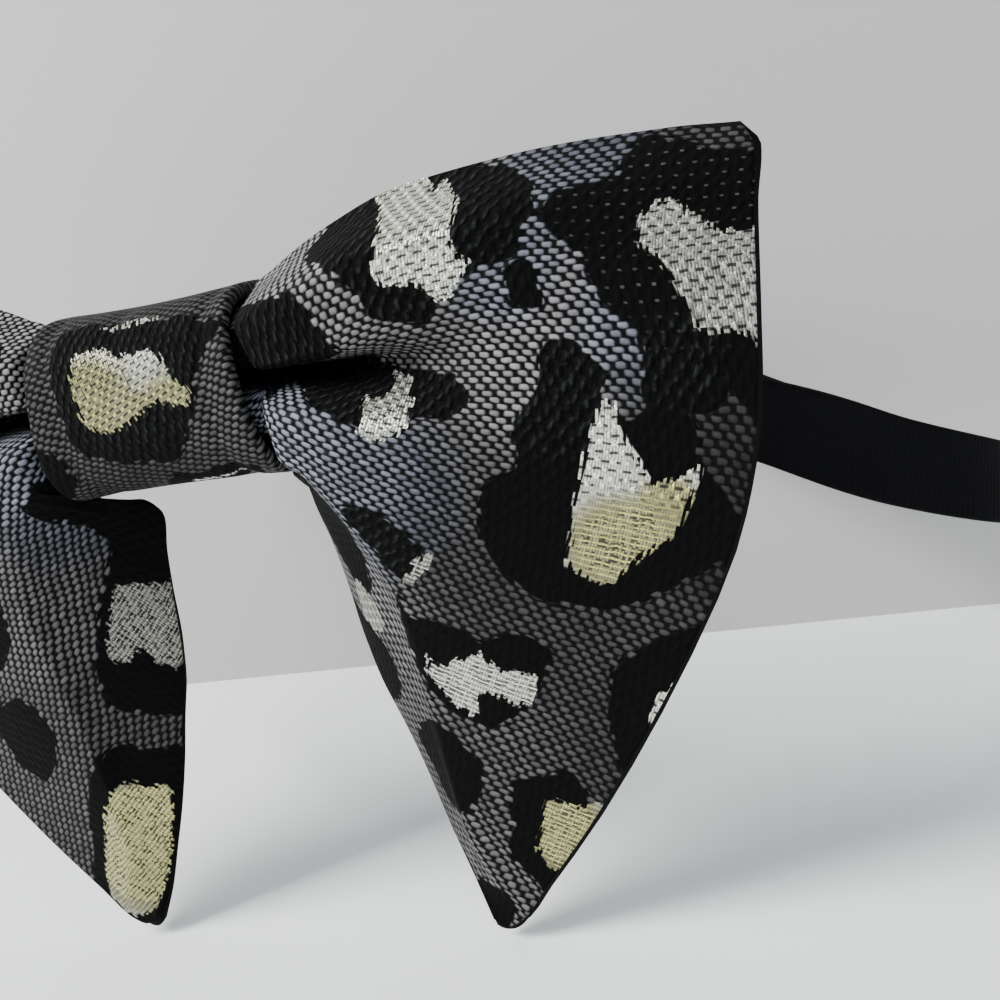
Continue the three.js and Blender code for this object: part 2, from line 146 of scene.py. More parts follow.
# How fast a round area fades in from its edge, and the reach of a place's painted light.
AREA_FADE = 3
PAINTED_LIGHT_REACH = 4.0

# The weave's threads are turned round this place on the flat cloth.
WEAVE_CENTRE = (-14.0, 5.0)
# The shoulder's gathers: how much closer the threads lie, from where across the cloth, how softly
# that starts, and the heights on the cloth between which it fades in.
SHOULDER_MORE = 0.45
SHOULDER_FROM = -27.0
SHOULDER_SOFT = 1.5
SHOULDER_HEIGHTS = (12.0, 24.0)

# The weave: how far its dots repeat across and how high a row is. A dot's half width and half
# height are shares of these, it slants down to the right by a share of its row, and its outline
# is a superellipse of this power, soft between two of its own values.
DOT_REPEAT = 1.46
ROW_HEIGHT = 0.66
DOT_HALF_WIDTH = 0.40
DOT_HALF_HEIGHT = 0.52
DOT_SLANT = 0.25
DOT_POWER = 3.0
DOT_EDGE = (0.72, 1.12)
PIN_EDGE = (0.005, 0.07)
# How far the rows wander, and the scale of it. A dot's painted shade is eased from its middle to
# its edge, with how light it is at each: lighter in the middle, darker towards the edge.
WEAVE_WANDER = 0.6
WANDER_SCALE = 0.35
DOT_LIGHT = (0.0, 0.9, 1.5, 0.28)
# Painted light on a dot's upper side, and its fine grain. A dot's and a pin dot's light by lot: how
# far it spreads, and the least of it.
DOT_LIT_ABOVE = 0.7
GRAIN_SCALE = 4.0
DOT_SPREAD = 0.5
DOT_LEAST = 0.75
PIN_SPREAD = 0.8
PIN_LEAST = 0.3

# Ribs of the black cloth: from rib to rib, how far they wander and at what scale, how steeply
# they climb, and the length of the short grains in them, with their turn from rib to rib.
RIB_PITCH = 1.25
RIB_WANDER = 1.1
RIB_WANDER_SCALE = 0.8
RIB_RISE = math.radians(50)
RIB_GRAIN = 0.8
GRAIN_SHIFT = 2.4
# Shares of the ribs' relief and of their painted highlight, and the limits between which it is eased in.
RIB_HEIGHT = 0.4
GRAIN_HEIGHT = 0.22
GRAIN_LIGHT = 0.5
RIB_LIT = (0.0, 1.3)
# The ribs' painted highlights show in patches: the scale and the limits of it.
RIB_LIGHT_PATCH_SCALE = 1.1
RIB_LIGHT_PATCH_EDGE = (0.38, 0.62)

# Metal threads: the strips' width and the length of a bit of strip; the level yarns' pitch and how
# far they wander; the height of a row of dashes.
STRIP_WIDTH = 0.3
STRIP_RUN = 1.3
YARN_PITCH = 0.55
YARN_WANDER = 0.4
YARN_WANDER_SCALE = 0.8
DASH_ROW = 0.78
# A dash and a knob, each as soft limits beside the brick's middle and off its level line. A yarn,
# the gap beside a strip, and how many dashes and strips are dark, by lot.
DASH_SIDE = (0.20, 0.27)
DASH_OFF = (0.10, 0.19)
KNOB_SIDE = (0.10, 0.22)
KNOB_OFF = (0.15, 0.38)
YARN_EDGE = (0.11, 0.21)
STRIP_GAP = (0.30, 0.5)
DASH_LOT = (0.05, 0.15)
SPECK_LOT = (0.68, 0.76)
# How dark a speck and a gap are, and how far yarns and dashes hide the strips.
SPECK_DARKNESS = 0.85
GAP_DARKNESS = 0.75
YARN_COVER = 0.9
DASH_COVER = 0.92
# Shares of the metal's relief: how a bit of strip leans, how round it is, and how high yarns stand.
STRIP_LEAN = 2.4
STRIP_HUMP = 0.3
YARN_HEIGHT = 0.8
# How metallic a strip and a yarn are.
STRIP_METAL = 0.75
YARN_METAL = 0.25

# Half the softness of a spot's and of a metal patch's edge, and how far the edge jumps from dot to
# dot and from strip to strip, in mm.
SPOT_SOFT = 0.12
METAL_SOFT = 0.08
EDGE_JUMP = 0.8
# How rough the dots, the black cloth and the metal are.
DOT_ROUGHNESS = 0.6
BLACK_ROUGHNESS = 0.92
METAL_ROUGHNESS = 0.3
# The ribs' share of the relief on plain black cloth, and what is added where it is ribbed.
PLAIN_RELIEF = 0.3
RIBBED_RELIEF = 0.6
# Depths of the relief, in mm.
CLOTH_RELIEF = 0.3
LINING_RELIEF = 0.03
BRAID_RELIEF = 0.02
CLASP_RELIEF = 0.01
# From rib to rib of the lining and of the strap's braid. Their cross ribs lie closer by a share of
# this. The heights are shares of the relief.
LINING_PITCH = 0.35
BRAID_PITCH = 0.8
CROSS_PITCH = 0.8
CROSS_HEIGHT = 0.25
UNEVEN_SCALE = 1.6
UNEVEN_HEIGHT = 0.8
# The scale of the clasp's grain, for each metre.
CLASP_GRAIN = 1800.0

# Colours, as shares of the light that comes back.
NO_LIGHT = (0.0, 0.0, 0.0)
DOT_GREY = (0.61, 0.59, 0.60)
# The dots' grey with a painted bluish tint of cool light.
DOT_BLUISH = (0.53, 0.55, 0.65)
PLAIN_BLACK = (0.0017, 0.0017, 0.0018)
# The painted highlight on the crests of the black cloth's ribs.
RIB_BLACK = (0.015, 0.018, 0.016)
PIN_GREY = (0.055, 0.049, 0.046)
SILVER_KNOBBED = (0.68, 0.69, 0.59)
SILVER_LINED = (0.44, 0.44, 0.38)
GOLD = (0.34, 0.325, 0.175)
SILVER_YARN = (0.95, 0.96, 0.85)
GOLD_YARN = (0.68, 0.67, 0.23)
GAP_BLACK = (0.03, 0.03, 0.03)
DASH_BLACK = (0.02, 0.02, 0.02)
LINING_BLACK = (0.004, 0.004, 0.0045)
BRAID_BLACK = (0.0025, 0.0025, 0.003)
CLASP_BLACK = (0.012, 0.012, 0.013)
FLOOR_PAINT = (0.87, 0.89, 0.90)
WALL_PAINT = (0.385, 0.388, 0.375)
PALE_SKY = (0.80, 0.86, 1.0)

# The stage: the floor's height, where the wall stands and how it is turned, and their sizes.
FLOOR_Z = -66.2
WALL_Y = 101.7
WALL_TURN = math.radians(4.25)
STAGE_HALF_WIDTH = 800
STAGE_HALF_DEPTH = 600
WALL_TOP = FLOOR_Z + 698

# Lights: place and what they point at in mm, side in mm, power in watts, colour.
LIGHTS = [
    ("window", (-420, -420, 520), (20, 0, -20), 420, 14.8, (1.0, 0.99, 0.96)),
    ("sky", (300, -700, 420), (20, 0, -20), 600, 3.4, (0.86, 0.93, 1.0)),
]
SKY_STRENGTH = 0.38


def columns(names, rows):
    """A short table as a dictionary with one array for each named column."""
    return dict(zip(names.split(), np.array(rows, float).T))


# Sections from the root inside the knot (0) to the outer rim (1), in mm.
WING_SECTIONS = columns("at top_x top_z edge_x edge_z bow spread", [
    (0.00, 1.6, 6.2, 1.6, -7.4, 0.0, 0.00),
    (0.17, 12.9, 7.3, 15.2, -8.5, 0.0, 0.00),
    (0.20, 13.7, 8.9, 14.8, -11.6, 0.4, 0.03),
    (0.22, 15.5, 9.7, 10.9, -12.4, 3.0, 0.06),
    (0.26, 18.6, 11.2, 9.4, -15.0, 3.8, 0.15),
    (0.32, 22.9, 12.9, 10.4, -19.8, 1.6, 0.32),
    (0.45, 31.6, 15.2, 12.0, -29.5, 0.4, 0.55),
    (0.65, 44.6, 15.8, 15.9, -42.5, 0.0, 0.76),
    (0.85, 56.5, 15.2, 19.9, -55.8, 0.0, 0.92),
    (1.00, 64.2, 13.9, 22.9, -63.3, 0.0, 1.00),
])

# Where the four fold lines cross each section, as shares from the top border to the inner edge.
FOLD_LINES = columns("at upper pleat lower roll", [
    (0.00, 0.20, 0.450, 0.69, 0.860),
    (0.17, 0.20, 0.455, 0.69, 0.860),
    (0.24, 0.23, 0.520, 0.67, 0.810),
    (0.32, 0.27, 0.560, 0.65, 0.770),
    (0.45, 0.28, 0.555, 0.65, 0.790),
    (0.65, 0.21, 0.505, 0.66, 0.890),
    (0.85, 0.19, 0.470, 0.65, 0.955),
    (1.00, 0.19, 0.450, 0.62, 0.960),
])

# Depth (Y) of the front face along the borders and the fold lines, in mm.
FOLD_DEPTHS = columns("at top upper pleat lower roll edge", [
    (0.00, -8.6, -12.7, -12.2, -13.0, -11.6, -6.3),
    (0.17, -8.6, -13.2, -12.6, -13.7, -12.6, -6.4),
    (0.20, -8.6, -15.3, -14.2, -15.2, -13.6, -5.0),
    (0.22, -8.6, -16.0, -14.8, -16.0, -14.4, -2.9),
    (0.26, -8.5, -16.6, -15.2, -16.7, -15.1, -1.4),
    (0.32, -8.4, -16.8, -15.2, -17.0, -15.2, -1.2),
    (0.45, -7.8, -15.6, -13.4, -15.2, -13.4, -1.0),
    (0.65, -6.5, -11.8, -10.6, -11.2, -9.0, -1.0),
    (0.85, -5.0, -7.5, -7.4, -7.0, -6.2, -2.4),
    (1.00, -4.0, -4.3, -4.5, -4.7, -5.0, -5.0),
])

# The sharp tuck in the pleat: how much deeper it goes, and its half width, in mm.
TUCK = columns("at depth width", [
    (0.00, 6.2, 0.9),
    (0.17, 6.8, 0.9),
    (0.22, 8.2, 1.0),
    (0.32, 7.2, 1.4),
    (0.39, 4.4, 1.9),
    (0.47, 1.8, 2.6),
    (0.60, 0.0, 4.0),
    (1.00, 0.0, 4.0),
])

# Outer rim, from the upper corner down the side and along the slant to the tip, in mm.
WING_RIM = columns("at x z", [
    (0.000, 64.2, 13.9),
    (0.040, 64.9, 12.2),
    (0.190, 64.1, 7.0),
    (0.450, 62.6, -3.6),
    (0.540, 61.2, -12.2),
    (0.600, 58.9, -19.4),
    (0.650, 56.1, -25.7),
    (0.710, 51.1, -33.6),
    (0.780, 44.3, -42.9),
    (0.860, 36.4, -52.6),
    (0.920, 30.1, -59.4),
    (0.965, 26.2, -63.5),
    (0.985, 24.4, -64.2),
    (1.000, 22.9, -63.3),
])

# How far the inner edge is drawn out in X along the wing, in mm.
EDGE_SHIFT = columns("at shift", [
    (0.00, 0.0),
    (0.20, 0.0),
    (0.26, 0.7),
    (0.38, 0.6),
    (0.48, 0.0),
    (0.58, -0.6),
    (0.80, -0.6),
    (1.00, 0.0),
])

# The strap's closed route round the neck, with its lean about its own line in degrees.
STRAP_ROUTE = columns("x y z lean", [
    (0, -2.7, -0.7, 0),
    (11, -2.7, -0.7, 0),
    (20, -1.8, -1.6, 0),
    (38, 5, -8.0, 16),
    (54, 17, -15.4, 34),
    (67, 30, -25.0, 4),
    (76, 45, -32.0, 0),
    (75, 62, -35.5, 0),
    (66, 76, -37.0, 0),
    (55, 84, -34.5, 0),
    (40, 91, -27.5, 0),
    (20, 96, -19.0, 0),
    (0, 98, -14.0, 0),
    (-25, 96, -10.0, 0),
    (-50, 86, -8.0, 0),
    (-69, 68, -7.0, 0),
    (-75, 47, -6.5, 0),
    (-69, 29, -5.5, 0),
    (-55, 14, -4.0, 0),
    (-38, 4, -2.5, 0),
    (-20, -1.8, -1.0, 0),
    (-11, -2.7, -0.7, 0),
])

# The pattern. Each spot is an outline on the cloth laid flat, in mm: first across, then up.
# The cloth's own zero lies in the large gold patch, and the rows of the weave run level.
# The left wing is counted on the same cloth, mirrored.
BLACK_SPOTS_RIGHT = [
    # beside the knot, in the upper lobe
    [(-47, 30), (-43.5, 30), (-38.5, 30.2), (-35, 29.8), (-32, 28.9), (-30.6, 27.2), (-30.3, 25),
     (-30, 23.2), (-29.8, 21.5), (-32, 20.3), (-37, 20), (-43.5, 20), (-47, 20)],
    # round the silver patch of the upper lobe
    [(-30, 38.5), (-31.3, 36), (-31.2, 34), (-30, 31.5), (-28, 30), (-26.6, 28.3), (-25.7, 26.5),
     (-25.4, 24), (-24, 22.3), (-22, 21.2), (-20, 21.1), (-18.4, 22.9), (-15.1, 25), (-12.5, 25.6),
     (-10.4, 26.2), (-9.6, 28), (-8.1, 29.6), (-8.2, 31.5), (-8.7, 34), (-9.8, 35.7), (-11.5, 37.2),
     (-16, 38.8), (-20, 41), (-27, 41)],
    # small one between the two large ones
    [(-12, 24), (-10.6, 25.4), (-9.2, 25), (-8.9, 22.5), (-8.9, 21), (-9.8, 20.4), (-11.2, 20.8),
     (-12.1, 21.8)],
    # dark square under the outer one
    [(0, 19.8), (4.4, 19), (7.5, 15), (8, 12.5), (6.2, 10.6), (3.5, 10.6), (1, 10.6), (-0.2, 12.5), (0, 16)],
    # round the silver patch at the outer side
    [(-7.7, 28.9), (-6.9, 30.7), (-5.6, 31.7), (-2.6, 31.7), (-0.6, 32.4), (-0.2, 33.9), (1, 35.2),
     (3, 35.9), (5, 35.2), (8, 34), (11, 32.9), (14, 32), (14, 8), (10.2, 10), (8.2, 12.2),
     (6.6, 14.2), (5, 16), (4.2, 18.2), (1.5, 19.2), (-0.3, 18.9), (-2.5, 20), (-3.6, 21.2),
     (-4, 22.8), (-4.8, 25), (-6.6, 27.4)],
    # from under the pleat down round the gold patch
    [(-9.6, 17), (-8.6, 17.9), (-6.4, 17.5), (-5.2, 16.2), (-3.6, 14.8), (-3.4, 13.6), (-4, 12),
     (-3.2, 10.8), (-1.5, 9.8), (-0.2, 10.6), (1.2, 11.3), (3, 11.4), (4.6, 10.4), (5.3, 8.3),
     (5.3, 5.6), (6.8, 4.3), (8.2, 2.8), (9.6, 0.6), (12, 0), (14, -2), (12, -4), (8.2, -4.2),
     (6.8, -4.7), (4.9, -5.7), (3.1, -7), (1.2, -7.9), (-0.6, -9.2), (-3, -9.6), (-5.4, -9.6),
     (-8, -9.2), (-10, -8.8), (-11.8, -7.5), (-13.6, -5.7), (-15.3, -3), (-15.6, -0.5), (-15.8, 2.4),
     (-14, 4.3), (-12.5, 5.2), (-12.5, 8.9), (-11.8, 10.7), (-10.8, 12.2), (-10, 14)],
    # on the lower slope of the pleat
    [(-46, 15.5), (-42, 15), (-42, 14), (-39, 13), (-36.5, 11.2), (-34, 9.5), (-31, 8.2), (-27.5, 7.4),
     (-24, 7.2), (-22.6, 9.4), (-20, 9.9), (-18, 10.5), (-17.3, 12), (-17.8, 13.5), (-19.4, 14.9),
     (-23, 15), (-27, 15.6), (-30, 16.5), (-36, 17), (-46, 17)],
    # by the top of the roll
    [(-29.6, -1), (-26.6, -0.8), (-24.6, -1.7), (-22.8, -3), (-21.2, -4.6), (-21, -6.4), (-22.4, -8.4),
     (-24.4, -7.8), (-26.4, -5.8), (-28.2, -4.2), (-29.8, -2.6)],
    # down the turned-back strip from the knot
    [(-42, -3.4), (-36, -2.4), (-33, -1.7), (-31.2, -2.6), (-30.2, -4.8), (-29.8, -7.5), (-29.4, -10),
     (-29.6, -12.6), (-30.4, -14.4), (-32.4, -14.9), (-35, -14.2), (-42, -10)],
    # lower down on it
    [(-38, -20), (-33, -20.2), (-29.8, -20.6), (-27.8, -21.6), (-26.8, -24), (-27.2, -27), (-29, -29.4),
     (-32, -30), (-38, -28)],
    # round the silver patch of the tail
    [(-23.9, -10.6), (-22.8, -12.5), (-20, -12.6), (-17, -13.2), (-15.2, -14.1), (-13.6, -13.2),
     (-11.4, -12.7), (-9.3, -13.4), (-7.8, -15.4), (-8.4, -17), (-9.2, -19.5), (-10.2, -21.8),
     (-12.4, -23.8), (-13.8, -24.6), (-16.8, -23.6), (-19.4, -22.2), (-21.8, -19.4), (-23.2, -16.5),
     (-24.1, -13.2)],
    # on the slanting side
    [(7, -10.8), (3.4, -12), (1.2, -13.2), (-0.6, -14.6), (-2, -16.3), (-1.9, -19), (-1.7, -21.7),
     (-1.5, -23.6), (-0.4, -26), (0.2, -27.6), (3, -27.5), (8, -14)],
    # in the tail beside the roll
    [(-20.3, -25.5), (-18.6, -25.8), (-16.4, -27), (-14.6, -28.2), (-14, -29.6), (-14.2, -32),
     (-15, -34.4), (-16.6, -36.2), (-18.6, -37), (-20.6, -36), (-22.8, -33.9), (-24.8, -31),
     (-23.4, -28.4), (-21.8, -26.6)],
    # round the lower gold patch
    [(-11, -30.3), (-9, -29.4), (-6.9, -28.7), (-5.4, -28.2), (-4.2, -29.3), (-3, -31.4),
     (-1.5, -32.5), (1, -34), (-2, -38), (-5, -43), (-6.9, -43.3), (-8, -41.8), (-9.6, -40.9),
     (-10.6, -38.7), (-10.6, -35.6), (-11.1, -33)],
    # at the tip
    [(-14.6, -45.2), (-12.8, -44.5), (-11.2, -44.7), (-10, -46), (-9.6, -47.5), (-10.6, -50),
     (-13, -51), (-16.5, -47.5)],
]

METAL_SPOTS_RIGHT = [
    # upper lobe
    [(-23.3, 41), (-23, 35.5), (-22.4, 32.2), (-22.6, 30), (-23.2, 27.2), (-22.6, 25.6), (-20, 25),
     (-19.2, 23.8), (-18.3, 22.8), (-17, 23.6), (-15.8, 24.9), (-14.9, 26), (-15.9, 27), (-16, 29),
     (-15.4, 30.6), (-15.2, 34), (-16, 36), (-16.6, 37.5), (-17.6, 36.2), (-18.2, 38.6), (-19, 41)],
    # outer side
    [(0.7, 27.2), (1.3, 28.5), (3, 29.4), (4.6, 29.3), (5.2, 28.1), (6.6, 27.7), (7.6, 26.6),
     (9.7, 26.1), (14, 25.6), (14, 15.8), (11, 16), (9.7, 17.2), (6, 17.7), (4.7, 18.9), (3.9, 21.4),
     (3.2, 23), (2.2, 24.4), (0.9, 25.6)],
    # the large gold one
    [(-4.2, 11.4), (-2.7, 11.2), (-2.4, 9.5), (-1.5, 7.4), (-0.5, 5.7), (0.6, 4), (1.3, 3.4),
     (2.8, 4.1), (4.2, 4.5), (5.4, 5.3), (5, 3.4), (4.2, 1.2), (2.9, -1.8), (1, -3.1), (-1.4, -5.4),
     (-2.9, -6.8), (-4.7, -6.6), (-5.4, -5.8), (-7, -5.2), (-6.8, -3), (-6.6, 0), (-6.3, 3),
     (-5.6, 6.4), (-4.9, 9)],
    # one under the pleat, dimmed a little by painted shade
    [(-28, 11.1), (-26.3, 11.3), (-25.9, 13.4), (-26.4, 14.9), (-24.3, 14.5), (-23.5, 12.8),
     (-22.9, 11), (-22.8, 9), (-24.2, 7.2), (-26, 6.7), (-27.2, 7), (-27.4, 9.3)],
    # flecks below the roll's spot
    [(-20.4, -5.2), (-20.9, -7), (-22, -8.6), (-23.4, -8.9), (-22.6, -7.2), (-21.6, -5.8)],
    # turned-back strip
    [(-33, -14.5), (-30.5, -15), (-29, -16.5), (-28.6, -18.2), (-29.6, -19.6), (-31.5, -20),
     (-33, -19)],
    # tail
    [(-21.1, -17.1), (-19.2, -18.1), (-17.6, -17), (-16.1, -16.5), (-15.2, -15.2), (-14.4, -16.4),
     (-12.6, -17.4), (-9.9, -17.4), (-9, -19), (-9.8, -20.7), (-11.6, -21.1), (-13.2, -20.3),
     (-15, -20.3), (-15.3, -21.6), (-15.2, -23.2), (-16.8, -22.8), (-19, -20.9), (-20.6, -19.2)],
    # slanting side
    [(3.6, -17.2), (3, -19), (2.6, -20.6), (2.1, -22), (4, -22), (6, -17)],
    # lower gold one
    [(-7.4, -32.6), (-6.4, -32), (-5.4, -32.1), (-4.7, -32.6), (-3.6, -32.3), (-1.8, -31.8), (0, -33),
     (-3, -38.5), (-4.8, -40.6), (-6.2, -40), (-7.2, -38.9), (-7.8, -38.1), (-7.5, -35)],
]

BLACK_SPOTS_LEFT = [
    # turned-back strip, round its silver patch
    [(-48, 1.5), (-42, 2.4), (-38, 3), (-34.8, 2.2), (-34.6, -0.6), (-36, -3), (-37.6, -5.4),
     (-37.5, -8.8), (-34.5, -11.4), (-31, -14), (-27.6, -17.6), (-25.2, -21), (-24.4, -24),
     (-26.5, -26.6), (-30.4, -30.4), (-35, -27), (-40, -20), (-46, -12)],
    # tail, round the gold patch
    [(-21.5, -27.6), (-24.5, -31), (-28.5, -34.6), (-24, -40), (-18, -46), (-12, -51), (-6, -50),
     (-3.6, -46), (-5, -42.5), (-9, -38), (-12.4, -33.6), (-16.4, -29.6)],
    # upper lobe
    [(-36, 33), (-31, 35.5), (-26, 34.6), (-22.5, 31.5), (-20.6, 27), (-22.4, 22.6), (-27, 20.4),
     (-32, 21), (-36, 24), (-38, 29)],
    # top corner
    [(-9, 36), (-5, 38), (2, 38), (13, 36), (13, 27), (8.6, 25.4), (4.6, 27), (1.5, 25.8), (-3, 26.4),
     (-7.4, 29.6), (-9.6, 33)],
    # outer side
    [(-1, 19), (3.4, 20.4), (8, 18.2), (13, 17.6), (13, 5), (8.6, 6.4), (5, 4.6), (0.4, 6),
     (-2.6, 9.8), (-3, 15)],
    # under the pleat
    [(-24, 15.6), (-18.6, 16.6), (-13, 15), (-11, 11.4), (-13.4, 8.2), (-19, 7.4), (-24.6, 8.6),
     (-27, 12)],
    # middle of the lower lobe
    [(-20, 0.6), (-15, 2.4), (-9.6, 0.4), (-7.4, -4.6), (-9, -10), (-14, -12.8), (-19.4, -11),
     (-22.6, -6), (-22.4, -2)],
    # slanting side
    [(-1, -3.4), (4, -2.6), (10, -4.4), (6, -15), (2.2, -19), (-2.4, -17.6), (-4.4, -12), (-3.4, -7)],
    # tail beside it
    [(-15, -17.4), (-9.6, -17), (-6.4, -20), (-6.6, -25), (-9.6, -27.4), (-13.6, -26), (-16.4, -22)],
]

METAL_SPOTS_LEFT = [
    # turned-back strip
    [(-40.4, -19.2), (-37.4, -15.6), (-35, -13.2), (-32.4, -14.6), (-28.4, -18.4), (-29.2, -20.9),
     (-31.6, -20.5), (-31.8, -22.6), (-33.6, -25.4), (-36.5, -23.4)],
    # gold one of the tail
    [(-19.4, -32.2), (-21.4, -34.6), (-23, -37), (-18.6, -43), (-12.6, -47.8), (-8, -46.4),
     (-8.4, -42), (-12.4, -37), (-16, -33.4)],
    # upper lobe
    [(-31.6, 30.6), (-28.6, 32), (-25.8, 30.2), (-25, 26.4), (-27, 23.6), (-30.4, 24.4), (-31, 27.4)],
    # top corner
    [(-3, 33.4), (1, 34.6), (5, 33.4), (13, 33), (13, 29.6), (8, 28.6), (4, 30), (0.4, 29),
     (-3.6, 30.6)],
    # outer side, gold
    [(0.8, 15.6), (4.6, 16.4), (8, 14.4), (13, 14), (13, 9), (8, 9.6), (4, 8.4), (1.4, 10.8)],
    # under the pleat
    [(-21, 13.8), (-17, 14.2), (-14.4, 12.4), (-15.6, 10), (-19.6, 9.6), (-22.4, 11.4)],
    # middle
    [(-17, -2.2), (-13.4, -1.2), (-10.6, -3.6), (-11, -7.6), (-14.2, -9.8), (-17.6, -8), (-18.6, -4.6)],
    # slanting side
    [(0.4, -6.4), (4, -6), (6.4, -8), (4.4, -13.4), (1.4, -14.8), (-0.8, -11)],
]

# The knot's cloth: first across the bow, then up and round from the middle of its front.
BLACK_SPOTS_KNOT = [
    # round the patch in front
    [(-8.4, 8.6), (-4, 9.4), (0.3, 8.6), (4, 8.4), (8, 7.8), (11, 7), (13.2, 5.6), (10.4, 3.6),
     (8.8, 1.5), (8.3, -0.6), (6.4, -3.4), (4.8, -5.8), (2.8, -7), (0, -6.6), (-3, -6.4), (-7, -4.4),
     (-9, 0), (-9.4, 5)],
    # left side
    [(-14, -4), (-11.6, -3.4), (-10, -5.4), (-10.2, -8.4), (-12, -10.4), (-14, -10)],
    # over the top
    [(-6, 18), (-1, 19.4), (5, 18.2), (8, 21), (6, 25), (0, 26.6), (-6, 24.4), (-8, 21)],
    # underneath
    [(-3, -17.6), (3, -16.4), (9, -18.4), (8, -23.4), (2, -25), (-4, -22.6)],
    # along the lower edge
    [(0.5, -9.4), (5, -8.9), (9, -8.6), (11.5, -9.6), (10, -12.5), (4, -13.5), (0, -12.5)],
]

METAL_SPOTS_KNOT = [
    # patch in front
    [(-6, 5.6), (-3, 6), (0.7, 4.8), (3.4, 4.9), (5, 4.1), (5.6, 2.8), (7, 1.2), (7.8, -0.5), (6.4, -1.2),
     (4.2, -0.3), (2.4, -0.6), (1, -1.4), (-0.4, -2), (-3, -2.6), (-5.4, -1.6), (-6.6, 1.6)],
    # glint along the lower edge
    [(3, -11), (6.5, -10.7), (9.5, -10.5), (9.8, -10.9), (6.5, -11.2), (3, -11.4)],
    # over the top
    [(-3, 20.4), (1, 21.4), (4, 20.8), (4.6, 23), (1, 24.4), (-3, 23.4)],
    # flecks above the black
    [(-3, 8.9), (1, 8.7), (4.6, 8.5), (1, 8.35), (-3, 8.5)],
]

# What the three cloths look like. Each round area is its middle and its reach in mm.
# gold: where the metal is gold and not silver. lined: where its yarns are long bright threads.
# ribbed: where the black cloth's ribs show. pinned: where it has pin dots. cool: where the
# weave's dots take a painted bluish tint of cool light. light: places with the painted light and
# shade of the dots there. shine: the same painted light and shade for the metal. turn: heights on
# the cloth, with how far the threads there turn from level, in degrees downwards to the right.
RIGHT_CLOTH = {
    "black": BLACK_SPOTS_RIGHT,
    "metal": METAL_SPOTS_RIGHT,
    "gold": [(-2, -3, 6.4), (2.5, 1, 4.2), (-5, -36, 6.5)],
    "lined": [(-1.5, -3, 7.2), (-5, -36, 7), (-15, -19, 12), (-22, -7, 3)],
    "ribbed": [(3.5, 15, 5), (-38, 25, 9), (-20, 31, 13), (-8, 12, 7), (-30, 13, 15), (-26, -4, 5)],
    "pinned": [(5, 29, 14)],
    # Painted bluish tint of cool light on the dots here.
    "cool": [(-42, 4, 16), (-28, 1, 12), (-13, 26, 7), (-4, 34, 9), (2, 19, 9)],
    # Painted light and shade of the dots: lighter where light falls, darker in the pleat's valley and down
    # the tail.
    "light": [
        (-27, 35, 0.25), (-29, 27, 0.19), (-20, 18, 0.11), (-13, 15, 0.235), (-8, 20, 0.25),
        (-12, 24, 0.18), (-5, 26, 0.17), (-6, 34, 0.12), (0, 38, 0.07), (8, 37, 0.045), (-1, 22, 0.19),
        (1, 19, 0.13), (5, 12, 0.04), (8, 7, 0.018), (9, 2, 0.021), (-2, 4, 0.07), (-40, 5, 0.22),
        (-28, 3, 0.19), (-18, 3, 0.088), (-20, -6, 0.06), (-15, -6, 0.04), (-30, -12, 0.18),
        (-30, -25, 0.12), (-5, -12, 0.05), (-12, -28, 0.085), (0, -25, 0.04), (-13, -43, 0.12),
        (-22, -38, 0.10),
    ],
    # Painted light and shade of the metal: dimmer where it lies in shade.
    "shine": [(-20, 33, 1), (8, 24, 0.55), (-2, 0, 1), (-15, -19, 1), (-28, 12, 0.8), (-30, -17, 0.45),
              (-5, -36, 1)],
    "turn": [(-10, 14), (18, 0), (24, -2), (38, 6)],
}
LEFT_CLOTH = {
    "black": BLACK_SPOTS_LEFT,
    "metal": METAL_SPOTS_LEFT,
    "gold": [(-16, -40, 11), (7, 12, 8)],
    "lined": [(-16, -40, 12), (-34, -19, 9), (7, 12, 9)],
    "ribbed": [(-30, 28, 12), (6, 31, 10), (-19, 12, 9)],
    "pinned": [(4, 12, 13)],
    # Painted bluish tint of cool light on the dots here.
    "cool": [(-42, 4, 16), (0, 30, 12)],
    # Painted light and shade of the dots, darker down the tail.
    "light": [
        (-27, 35, 0.25), (-20, 18, 0.22), (-6, 34, 0.12), (-40, 5, 0.19), (-18, 3, 0.13), (4, 0, 0.08),
        (-28, -6, 0.10), (-40, -12, 0.07), (-28, -30, 0.06), (-14, -30, 0.07), (-12, -46, 0.06),
    ],
    # Painted light and shade of the metal: dimmer where it lies in shade.
    "shine": [(-34, -19, 0.36), (-16, -40, 1), (0, 10, 0.8), (-20, 30, 1)],
    "turn": [(-10, 14), (18, 0)],
}
KNOT_CLOTH = {
    "black": BLACK_SPOTS_KNOT,
    "metal": METAL_SPOTS_KNOT,
    "gold": [(-5, -1.5, 8.6), (5.5, -3, 6.6), (1, -3, 5.5)],
    "lined": [],
    "ribbed": [(0, 5, 12)],
    "pinned": [],
    "cool": [],
    # Painted shade of the knot's dots, which lie in shade all over.
    "light": [(0, 12, 0.04), (0, -12, 0.038), (10, 0, 0.065), (-10, 0, 0.05), (0, 24, 0.04), (0, -24, 0.04)],
    "shine": [(0, 0, 1)],
    "turn": [(0, -22), (1, -22)],
}


